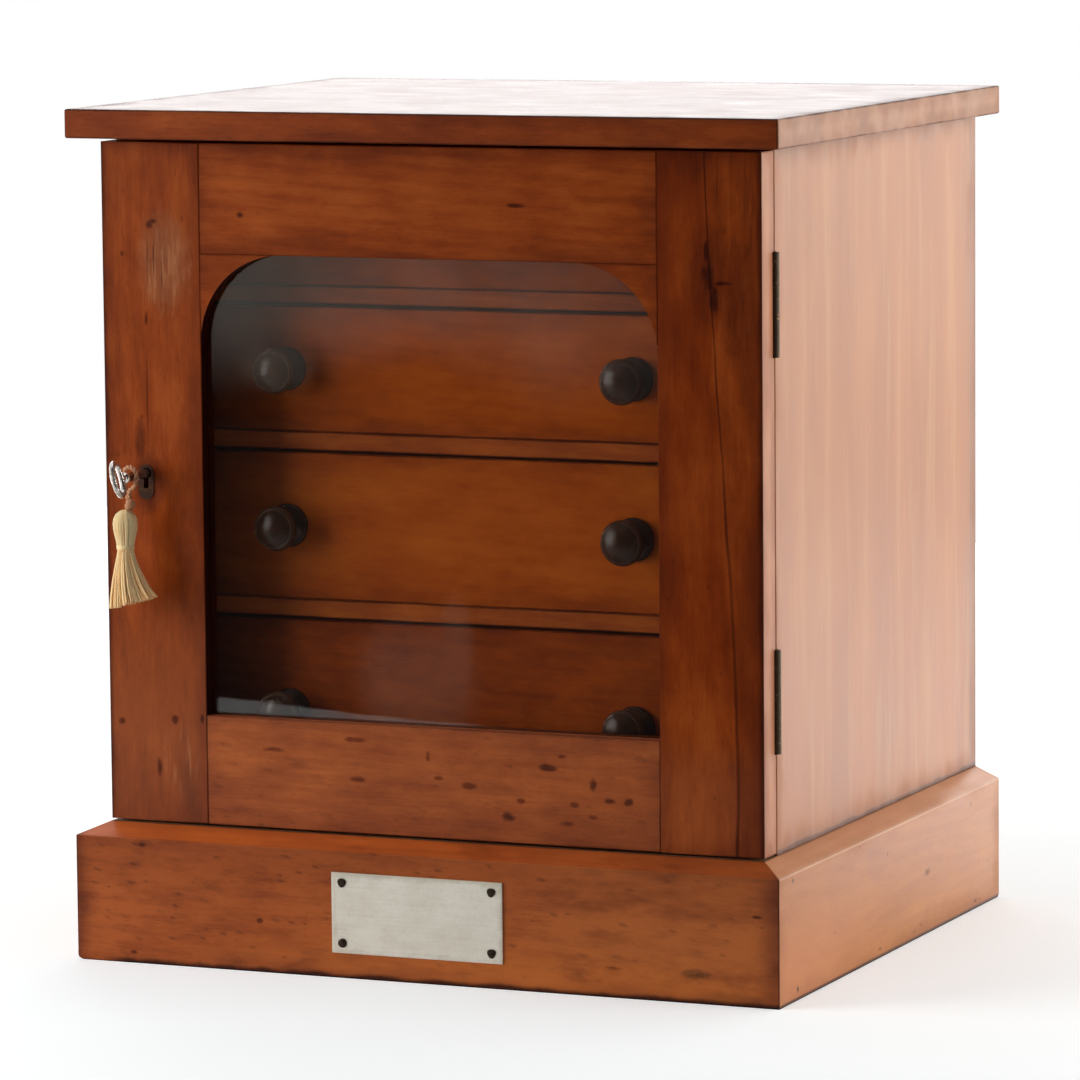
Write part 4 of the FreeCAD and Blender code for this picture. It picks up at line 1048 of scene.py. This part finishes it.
class CABINET_OT_knobs(bpy.types.Operator):
    """Turns a knob with a waist and a domed head, and fits two to each drawer"""
    bl_idname = "cabinet.knobs"
    bl_label = "Knobs"

    def execute(self, context):
        knobs = context.scene.cabinet_knobs
        base = knobs.base_radius * 1000
        waist = knobs.waist_radius * 1000
        head = knobs.head_radius * 1000
        line = [(0.0, -10.6), (3.5, -10.6), (3.8, -10.2), (3.8, 0.0), (base - 0.8, 0.0),
                (base - 0.25, 0.25), (base, 0.9), (base - 0.1, 1.7), (base - 0.7, 2.35), (base - 1.6, 2.7),
                (base - 1.9, 2.6), (base - 2.3, 2.85), (waist + 1.7, 3.2), (waist + 0.8, 4.0),
                (waist + 0.2, 5.6), (waist, 7.6), (waist + 0.2, 9.4), (waist + 1.0, 11.2),
                (waist + 2.4, 12.4), (head - 1.6, 13.2), (head - 0.5, 14.0), (head - 0.05, 15.0),
                (head, 15.9), (head - 0.3, 16.8), (head - 0.9, 17.5), (head - 1.5, 17.95),
                (head - 1.8, 18.0), (head - 2.1, 17.95), (head - 2.5, 18.2), (8.0, 18.9), (6.4, 19.65),
                (4.4, 20.3), (2.2, 20.7), (0.0, 20.8)]
        model = turned("knob", in_metres(line), knobs.steps)
        reach = model.data.attributes.new("turn_radius", "FLOAT", "POINT")
        out = model.data.attributes.new("turn_out", "FLOAT", "POINT")
        for point in model.data.vertices:
            reach.data[point.index].value = math.hypot(point.co.x, point.co.z)
            out.data[point.index].value = -point.co.y
        finish = self.stained_wood(knobs)
        for body in ("drawer_1", "drawer_2", "drawer_3", "drawer_4"):
            node = body + "_knobs"
            low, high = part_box(node)
            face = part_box(body + "_front")[0].y
            height = (low.z + high.z) / 2
            places = [low.x + knobs.head_radius, high.x - knobs.head_radius]
            pair = [copied(model, "knob_copy", Vector((x, face, height))) for x in places]
            settled(joined(pair, node + "_turned"), body, "knob_wood", finish, node)
        bpy.data.objects.remove(model)
        return {"FINISHED"}

    def stained_wood(self, knobs):
        material, surface, place = blank_material("stained_knob_wood")
        radius = place.node("ShaderNodeAttribute", {"attribute_name": "turn_radius"}, None, "Fac")
        out = place.node("ShaderNodeAttribute", {"attribute_name": "turn_out"}, None, "Fac")
        grain = patches(place, (1, 2, 3), (160, 160, 900), 3)
        clouds = patches(place, (5, 2, 3), (170, 170, 170), 3)
        lines = sine(radius * (math.tau / 0.0011) + clouds * 3.0)
        rim = rise(radius, 0.0086, 0.0112) * rise(out, 0.0125, 0.015)
        rubbed = least(rim * 0.4 + (clouds - 0.5) * 0.6 + (grain - 0.5) * 0.35 + 0.15, 1.0)
        colour = mixed(knobs.stain, knobs.worn, most(rubbed, 0.0))
        hollows = rise(radius, 0.0072, 0.0062) * rise(out, 0.013, 0.011)
        colour = darkened(colour, hollows, (0.45, 0.4, 0.4))
        feed(surface, Base_Color=colour, Roughness=0.24 + (clouds - 0.5) * 0.2 + hollows * 0.2,
             Specular_IOR_Level=0.2, IOR=1.5)
        bumped(surface, lines * 0.25 + grain * 0.5, 0.08, 0.0001)
        return material


class KeySettings(bpy.types.PropertyGroup):
    bow_half_width: length_of("Bow half width", "Across the key, to the middle of the wire", 0.0081)
    bow_half_length: length_of("Bow half length", "Along the key, to the middle of the wire", 0.00425)
    wire_radius: length_of("Wire radius", "Bow's wire", 0.0015)
    rest_turn: angle_of("Rest turn", "Bit's turn from straight down", 15.0)
    nickel: tone_of("Nickel", "Clean plating", (0.95, 0.9, 0.85))
    dulled: tone_of("Dulled", "Plating dulled by age", (0.5, 0.42, 0.35))


class CABINET_OT_key(bpy.types.Operator):
    """Turns the key's pipe and collars, bends its bow and files its bit"""
    bl_idname = "cabinet.key"
    bl_label = "Key"

    def execute(self, context):
        key = context.scene.cabinet_key
        axis = Vector((KEY_X, 0.0, KEY_Z))
        line = [(0.0, 138.7), (1.0, 138.6), (1.18, 138.3), (1.18, 125.0), (1.4, 124.75), (2.1, 124.75),
                (2.4, 125.05), (2.4, 170.9), (2.6, 171.3), (2.9, 171.7), (3.0, 172.2), (3.0, 173.2),
                (2.85, 173.6), (2.4, 173.9), (1.9, 174.3), (1.7, 174.9), (1.6, 175.8), (0.8, 176.1),
                (0.0, 176.2)]
        pipe = turned("key_pipe", in_metres(line), 40)
        pipe.data.transform(Matrix.Translation(axis))
        bow_middle = axis + Vector((0.0, -0.18, 0.0))
        for other in (self.bow(key, bow_middle), self.bit(key, axis)):
            combined(pipe, other, "UNION")
        bpy.ops.object.shade_smooth_by_angle(angle=SMOOTH_BELOW)
        pipe.name = "nickel_key"
        finish = metal("worn_nickel", key.nickel, key.dulled, 0.24, share=0.2, spread=260.0,
                       scratched=0.1, seed=5)
        settled(pipe, "key", "key_nickel", finish, "key")
        return {"FINISHED"}

    def bow(self, key, middle):
        """An oval of wire."""
        turn = Matrix.Rotation(-key.rest_turn, 3, "Y")
        steps = 64
        line = []
        for step in range(steps):
            angle = step * math.tau / steps
            along = -key.bow_half_length * math.cos(angle)
            line.append(middle + turn @ Vector((0.0, along, key.bow_half_width * math.sin(angle))))
        return threads("key_bow", [line], key.wire_radius, True, 5)

    def bit(self, key, axis):
        """A flat blade with one slot filed in its foot."""
        bpy.ops.object.select_all(action="DESELECT")
        bpy.ops.mesh.primitive_cube_add(size=1.0)
        bit = bpy.context.object
        bpy.ops.object.mode_set(mode="EDIT")
        bpy.ops.mesh.select_all(action="SELECT")
        bpy.ops.transform.resize(value=(0.0018, 0.0044, 0.0057))
        bpy.ops.mesh.bevel(offset=0.0002, segments=2, affect="EDGES")
        bpy.ops.object.mode_set(mode="OBJECT")
        bpy.ops.mesh.primitive_cube_add(size=1.0)
        ward = bpy.context.object
        slot_size = Matrix.Diagonal((0.004, 0.0012, 0.0026, 1.0))
        ward.data.transform(Matrix.Translation((0.0, 0.0, -0.0024)) @ slot_size)
        combined(bit, ward, "DIFFERENCE")
        turn = Matrix.Rotation(-key.rest_turn, 4, "Y")
        reach = Matrix.Translation((0.0, -0.12735, -0.00435))
        bit.data.transform(Matrix.Translation(axis) @ turn @ reach)
        return bit


class TasselSettings(bpy.types.PropertyGroup):
    shank: place_of("Shank", "Middle of the key's shank inside the loop", (KEY_X, -0.1665, KEY_Z))
    hang: place_of("Hang", "Top of the tassel's head", (-0.1567, -0.1665, 0.22915))
    tufts: IntProperty(name="Tufts", description="Bunches of thread in the skirt", default=16, min=3)
    tuft_threads: IntProperty(name="Tuft threads", description="Threads in each bunch", default=14, min=1)
    head_threads: IntProperty(name="Head threads", description="Threads over the ball", default=46, min=8)
    thread_radius: length_of("Thread radius", "One silk thread", 0.00038)
    lean: length_of("Lean", "How far the skirt's foot swings to the right", 0.0041)
    pale: tone_of("Pale silk", "Lightest threads", (1.0, 0.86, 0.5))
    deep: tone_of("Deep silk", "Darkest threads", (1.0, 0.56, 0.23))
    cord_pale: tone_of("Pale cord", "Lightest threads of the loop", (0.68, 0.34, 0.19))
    cord_deep: tone_of("Deep cord", "Darkest threads of the loop", (0.42, 0.18, 0.085))


class CABINET_OT_tassel(bpy.types.Operator):
    """Twists the tassel's loop, binds threads over its ball and hangs its skirt"""
    bl_idname = "cabinet.tassel"
    bl_label = "Tassel"

    def execute(self, context):
        tassel = context.scene.cabinet_tassel
        hang = Vector(tassel.hang)
        silk = self.silk("gold_silk", tassel.pale, tassel.deep, 0.4)
        rubbed_silk = self.silk("rubbed_silk", tassel.cord_pale, tassel.cord_deep)
        settled(self.loop(Vector(tassel.shank)), "tassel", "silk_cord", rubbed_silk, "tassel_loop")
        settled(self.head(tassel, hang), "tassel", "silk", silk, "tassel_head")
        settled(self.skirt(tassel, hang), "tassel", "silk", silk, "tassel_skirt")
        return {"FINISHED"}

    def loop(self, shank):
        """Two plies twisted along a smooth route round the key's shank, whipped together at their foot."""
        route = [(-1.3, -17.2), (-1.2, -14.5), (-1.7, -11.2), (-2.0, -8.2), (-3.4, -5.0), (-4.6, -0.2),
                 (-3.4, 3.9), (0.0, 5.1), (3.4, 3.9), (4.6, -0.2), (3.2, -4.6), (-0.2, -6.4), (-0.9, -8.6),
                 (-0.5, -11.2), (-0.1, -14.5), (-0.1, -17.2)]
        curve = bpy.data.curves.new("loop_route", "CURVE")
        curve.dimensions = "3D"
        curve.resolution_u = 12
        spline = curve.splines.new("NURBS")
        spline.points.add(len(route) - 1)
        for point, (across, up) in zip(spline.points, route):
            point.co = (across / 1000, -0.36 * across / 1000, up / 1000, 1.0)
        spline.order_u = 3
        spline.use_endpoint_u = True
        carrier = added("loop_route", curve)
        traced = bpy.data.meshes.new_from_object(carrier)
        places = [point.co.copy() for point in traced.vertices]
        bpy.data.objects.remove(carrier)
        twists = 11
        ply_offset = 0.00058
        plies = []
        for start in (0.0, math.pi):
            ply = []
            for index, place in enumerate(places):
                ahead = places[min(index + 1, len(places) - 1)] - places[max(index - 1, 0)]
                aside = ahead.normalized().cross(Vector((0.0, 1.0, 0.0)))
                angle = start + index * twists * math.tau / len(places)
                swing = Vector((0.0, math.cos(angle), 0.0)) + aside * math.sin(angle)
                ply.append(shank + place + swing * ply_offset)
            plies.append(ply)
        turn_steps = 14
        last = 4 * turn_steps
        knot = []
        for index in range(last + 1):
            angle = index * math.tau / turn_steps
            reach = 0.0013 + 0.0009 * math.sin(index * math.pi / last)
            across = reach * math.cos(angle)
            height = -0.0162 + 0.001 * index / turn_steps + 0.3 * across
            knot.append(shank + Vector((across - 0.0002, reach * math.sin(angle), height)))
        cord = threads("tassel_cord", plies, 0.00068)
        band = threads("tassel_knot", [knot], 0.00072)
        return joined([cord, band], "tassel_loop_twisted")

    def head(self, tassel, hang):
        """Threads laid over a ball from its top to its neck, with a binding round the neck."""
        draw = random.Random(61)
        ball = [(0.0, 229.2), (1.4, 229.1), (2.9, 228.4), (4.5, 227.0), (5.5, 225.1), (5.9, 222.6),
                (5.75, 220.0), (5.2, 217.2), (4.5, 214.4), (4.0, 211.7), (3.75, 209.8), (3.8, 208.8)]
        inner = [(radius * 0.93, up) for radius, up in ball] + [(0.0, 208.8)]
        core = turned("tassel_core", in_metres(inner), 40)
        stand = Matrix.Translation((hang.x, hang.y, 0.0)) @ Matrix.Rotation(-math.pi / 2, 4, "X")
        core.data.transform(stand)
        lines = []
        for index in range(tassel.head_threads):
            angle = (index + draw.uniform(-0.25, 0.25)) * math.tau / tassel.head_threads
            drift = draw.uniform(-0.16, 0.16)
            swell = draw.uniform(0.95, 1.03)
            line = []
            for step, (radius, up) in enumerate(ball[1:]):
                around = angle + drift * step / len(ball)
                line.append(on_circle(hang, radius * swell / 1000, around, up / 1000))
            lines.append(line)
        cover = threads("tassel_cover", lines, tassel.thread_radius * 1.25)
        turn_steps = 24
        binding = []
        for index in range(3 * turn_steps + 1):
            up = 0.2098 + 0.0007 * index / turn_steps
            binding.append(on_circle(hang, 0.0042, index * math.tau / turn_steps, up))
        band = threads("tassel_binding", [binding], 0.00038)
        return joined([core, cover, band], "tassel_head_bound")

    def skirt(self, tassel, hang):
        """Bunches of thread that leave the neck together and flare, longer ones lower."""
        draw = random.Random(62)
        neck = Vector((hang.x, hang.y, 0.2097))
        neck_reach, foot_reach = 0.0037, 0.0128
        stray = 0.0005
        last = 6
        lines = []
        for tuft in range(tassel.tufts):
            tuft_angle = (tuft + draw.uniform(-0.2, 0.2)) * math.tau / tassel.tufts
            tuft_flare = draw.uniform(0.9, 1.0)
            for _ in range(tassel.tuft_threads):
                angle = tuft_angle + draw.gauss(0.0, 0.15)
                depth = math.sqrt(draw.uniform(0.4, 1.0))
                length = 0.0278 - 0.0019 * depth * math.cos(angle) + draw.uniform(-stray, stray)
                bend = draw.uniform(-stray, stray)
                way = Vector((math.cos(angle), math.sin(angle), 0.0))
                side = Vector((-way.y, way.x, 0.0))
                start = depth * neck_reach
                foot = depth * foot_reach * tuft_flare
                line = []
                for step in range(last + 1):
                    share = step / last
                    reach = start + (foot - start) * share ** 1.15
                    shift = Vector((tassel.lean * share * share, 0.0, 0.0))
                    spot = way * reach + side * (bend * math.sin(share * math.pi)) + shift
                    drop = length * share - 0.5 * (spot - way * start).length ** 2 / length
                    line.append(neck + spot - Vector((0.0, 0.0, drop)))
                lines.append(line)
        return threads("tassel_skirt_threads", lines, tassel.thread_radius)

    def silk(self, name, pale, deep, head=0.0):
        """Silk threads of many tones, paler on the head by the share of that name."""
        material, surface, place = blank_material(name)
        island = place.node("ShaderNodeNewGeometry", None, None, "Random Per Island")
        sheen = patches(place, (2, 3, 1), (900, 900, 160))
        broad = patches(place, (2, 3, 1), (190, 190, 60))
        on_head = rise(parts_of(place)[2], 0.2085, 0.2125) * head
        share = island * 0.6 + (sheen - 0.5) * 0.7 + (broad - 0.5) * 0.9 + 0.16 + on_head
        share = least(most(share, 0.0), 1.0)
        feed(surface, Base_Color=mixed(deep, pale, share), Roughness=0.5, Sheen_Weight=1.0,
             Sheen_Roughness=0.4, Sheen_Tint=(1.0, 0.64, 0.36, 1.0), Specular_IOR_Level=0.4)
        bumped(surface, sheen, 0.3, 0.0001)
        return material


class PlateSettings(bpy.types.PropertyGroup):
    silver: tone_of("Silver", "Clean plate", (1.0, 0.96, 0.85))
    tarnish: tone_of("Tarnish", "Tarnished plate", (0.7, 0.62, 0.5))
    iron: tone_of("Iron", "Pins", (0.03, 0.025, 0.022))


class CABINET_OT_plate(bpy.types.Operator):
    """Cuts the bare plate of the plinth and drives its four pins"""
    bl_idname = "cabinet.plate"
    bl_label = "Plate"

    def execute(self, context):
        plate = context.scene.cabinet_plate
        low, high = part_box("plaque")
        bpy.ops.object.select_all(action="DESELECT")
        bpy.ops.mesh.primitive_grid_add(x_subdivisions=46, y_subdivisions=20, size=1.0)
        sheet = bpy.context.object
        sheet.name = "plate_hammered"
        sized = Matrix.Diagonal((high.x - low.x, high.z - low.z, 1.0, 1.0))
        stand = Matrix.Rotation(math.pi / 2, 4, "X") @ sized
        middle = Vector(((low.x + high.x) / 2, high.y, (low.z + high.z) / 2))
        sheet.data.transform(Matrix.Translation(middle) @ stand)
        bpy.ops.object.mode_set(mode="EDIT")
        bpy.ops.mesh.select_all(action="SELECT")
        bpy.ops.mesh.extrude_region_move(TRANSFORM_OT_translate={"value": (0.0, low.y - high.y, 0.0)})
        bpy.ops.mesh.select_all(action="SELECT")
        bpy.ops.mesh.normals_make_consistent(inside=False)
        bpy.ops.object.mode_set(mode="OBJECT")
        draw = random.Random(71)
        dents = [(draw.uniform(low.x, high.x), draw.uniform(low.z, high.z), draw.uniform(0.003, 0.009),
                  draw.uniform(0.00002, 0.00007)) for _ in range(26)]
        front = (low.y + high.y) / 2
        for point in sheet.data.vertices:
            if point.co.y < front:
                for x, z, size, depth in dents:
                    off = ((point.co.x - x) ** 2 + (point.co.z - z) ** 2) / (size * size)
                    point.co.y += depth * math.exp(-off)
        only(sheet)
        rim = sheet.modifiers.new("rim", "BEVEL")
        rim.width = 0.00022
        rim.segments = 2
        rim.limit_method = "ANGLE"
        bpy.ops.object.modifier_apply(modifier=rim.name)
        bpy.ops.object.shade_smooth_by_angle(angle=SMOOTH_BELOW)
        settled(sheet, "cabinet", "plate_silver", self.worn_silver(plate, low, high), "plaque")
        self.pins(plate, low)
        return {"FINISHED"}

    def worn_silver(self, plate, low, high):
        material, surface, place = blank_material("worn_silver")
        clouds = patches(place, (2, 5, 1), (70, 70, 95), 5, roughness=0.65)
        fine = patches(place, (1, 2, 4), (900, 900, 900), 3)
        rubs = patches(place, (3, 2, 4), (34, 34, 2600), 3)
        scores = patches(place, (6, 2, 9), (1500, 90, 120))
        nearest = edge_distance(place, low, high)
        edge = rise(nearest - (clouds - 0.5) * 0.006, 0.0034, 0.0)
        dull = (clouds - 0.4) * 0.9 + (fine - 0.5) * 0.4 + edge * 0.4 + rise(scores, 0.66, 0.78) * 0.25
        dull = least(most(dull + (rubs - 0.5) * 0.5, 0.0), 1.0)
        feed(surface, Base_Color=mixed(plate.silver, plate.tarnish, dull), Metallic=0.85,
             Roughness=0.42 + dull * 0.2 + (rubs - 0.5) * 0.25)
        bumped(surface, rubs * 0.6 + fine * 0.4 - scores, 0.2, 0.0001)
        return material

    def pins(self, plate, low):
        line = [(0.0, -7.0), (0.55, -6.0), (0.8, -4.6), (0.8, 0.0), (2.45, 0.0), (2.6, 0.25), (2.5, 0.6),
                (2.1, 1.0), (1.5, 1.3), (0.8, 1.46), (0.0, 1.5)]
        model = turned("pin", in_metres(line), 28)
        draw = random.Random(72)
        heads = []
        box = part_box("plaque_pins")
        radius = 0.0026
        for x in (box[0].x + radius, box[1].x - radius):
            for z in (box[0].z + radius, box[1].z - radius):
                pin = copied(model, "pin_copy", Vector((0.0, 0.0, 0.0)))
                bumps = [(draw.uniform(0, math.tau), draw.uniform(0.04, 0.12)) for _ in range(3)]
                for point in pin.data.vertices:
                    if point.co.y <= 0.0:
                        around = math.atan2(point.co.z, point.co.x)
                        waves = [size * (0.5 + 0.5 * math.cos(3 * (around - at))) for at, size in bumps]
                        lump = 1.0 - sum(waves)
                        point.co.x *= lump
                        point.co.z *= lump
                        point.co.y *= draw.uniform(0.9, 1.0)
                pin.data.transform(Matrix.Translation((x, low.y, z)))
                heads.append(pin)
        piece = joined(heads, "plate_pins_hammered")
        bpy.data.objects.remove(model)
        finish = metal("pin_iron", plate.iron, (0.05, 0.03, 0.02), 0.42, spread=600.0, seed=6)
        settled(piece, "cabinet", "pin_iron", finish, "plaque_pins")


class FittingSettings(bpy.types.PropertyGroup):
    bronze: tone_of("Hinge brass", "Hinges where they are rubbed", (0.25, 0.15, 0.06))
    bronze_dark: tone_of("Dark hinge brass", "Hinges where they have darkened", (0.05, 0.03, 0.015))
    brass: tone_of("Lock brass", "Lock, bolt and strike plate", (0.6, 0.41, 0.16))
    brass_dark: tone_of("Dark lock brass", "Lock where it has dulled", (0.24, 0.14, 0.055))
    iron: tone_of("Escutcheon iron", "Keyhole's rim", (0.15, 0.07, 0.042))


class CABINET_OT_fittings(bpy.types.Operator):
    """Gives the hinges, lock, strike plate and escutcheon their metals"""
    bl_idname = "cabinet.fittings"
    bl_label = "Fittings"

    def execute(self, context):
        tones = context.scene.cabinet_fittings
        bronze = metal("hinge_bronze", tones.bronze, tones.bronze_dark, 0.4, share=0.7, spread=300.0,
                       scratched=0.1, seed=7)
        brass = metal("lock_brass_worn", tones.brass, tones.brass_dark, 0.32, share=0.45, spread=120.0,
                      scratched=0.15, seed=8)
        iron = metal("escutcheon_iron_dark", tones.iron, (0.06, 0.028, 0.018), 0.42, spread=260.0, seed=9)
        for node in ("hinge_fixed_leaves", "hinge_door_leaves", "hinge_pins", "hinge_fixed_screws",
                     "hinge_door_screws"):
            paint_node(node, bronze)
        for node in ("lock_case", "lock_cap", "lock_screws", "lock_bolt", "strike_plate", "strike_screws"):
            paint_node(node, brass)
        paint_node("escutcheon", iron)
        return {"FINISHED"}


class CABINET_PT_panel(bpy.types.Panel):
    """Lists the steps that dress the cabinet"""
    bl_idname = "CABINET_PT_panel"
    bl_label = "Collector's cabinet"
    bl_space_type = "VIEW_3D"
    bl_region_type = "UI"
    bl_category = "Cabinet"

    def draw(self, context):
        for step in STEPS:
            self.layout.operator(step.bl_idname)


STEPS = (CABINET_OT_stage, CABINET_OT_carcass, CABINET_OT_inside, CABINET_OT_door, CABINET_OT_glass,
         CABINET_OT_drawers, CABINET_OT_knobs, CABINET_OT_key, CABINET_OT_tassel, CABINET_OT_plate,
         CABINET_OT_fittings)
SETTINGS = {"cabinet_stage": StageSettings, "cabinet_cedar": CedarSettings, "cabinet_knobs": KnobSettings,
            "cabinet_key": KeySettings, "cabinet_tassel": TasselSettings, "cabinet_plate": PlateSettings,
            "cabinet_fittings": FittingSettings}


def register():
    for group in SETTINGS.values():
        bpy.utils.register_class(group)
    for name, group in SETTINGS.items():
        setattr(bpy.types.Scene, name, PointerProperty(type=group))
    for step in STEPS:
        bpy.utils.register_class(step)
    bpy.utils.register_class(CABINET_PT_panel)


def unregister():
    bpy.utils.unregister_class(CABINET_PT_panel)
    for step in reversed(STEPS):
        bpy.utils.unregister_class(step)
    for name in SETTINGS:
        delattr(bpy.types.Scene, name)
    for group in SETTINGS.values():
        bpy.utils.unregister_class(group)


def main():
    register()
    bpy.ops.object.select_all(action="DESELECT")
    bpy.ops.cabinet.stage()
    bpy.ops.cabinet.carcass()
    bpy.ops.cabinet.inside()
    bpy.ops.cabinet.door()
    bpy.ops.cabinet.glass()
    bpy.ops.cabinet.drawers()
    bpy.ops.cabinet.knobs()
    bpy.ops.cabinet.key()
    bpy.ops.cabinet.tassel()
    bpy.ops.cabinet.plate()
    bpy.ops.cabinet.fittings()


if __name__ == "__main__":
    main()
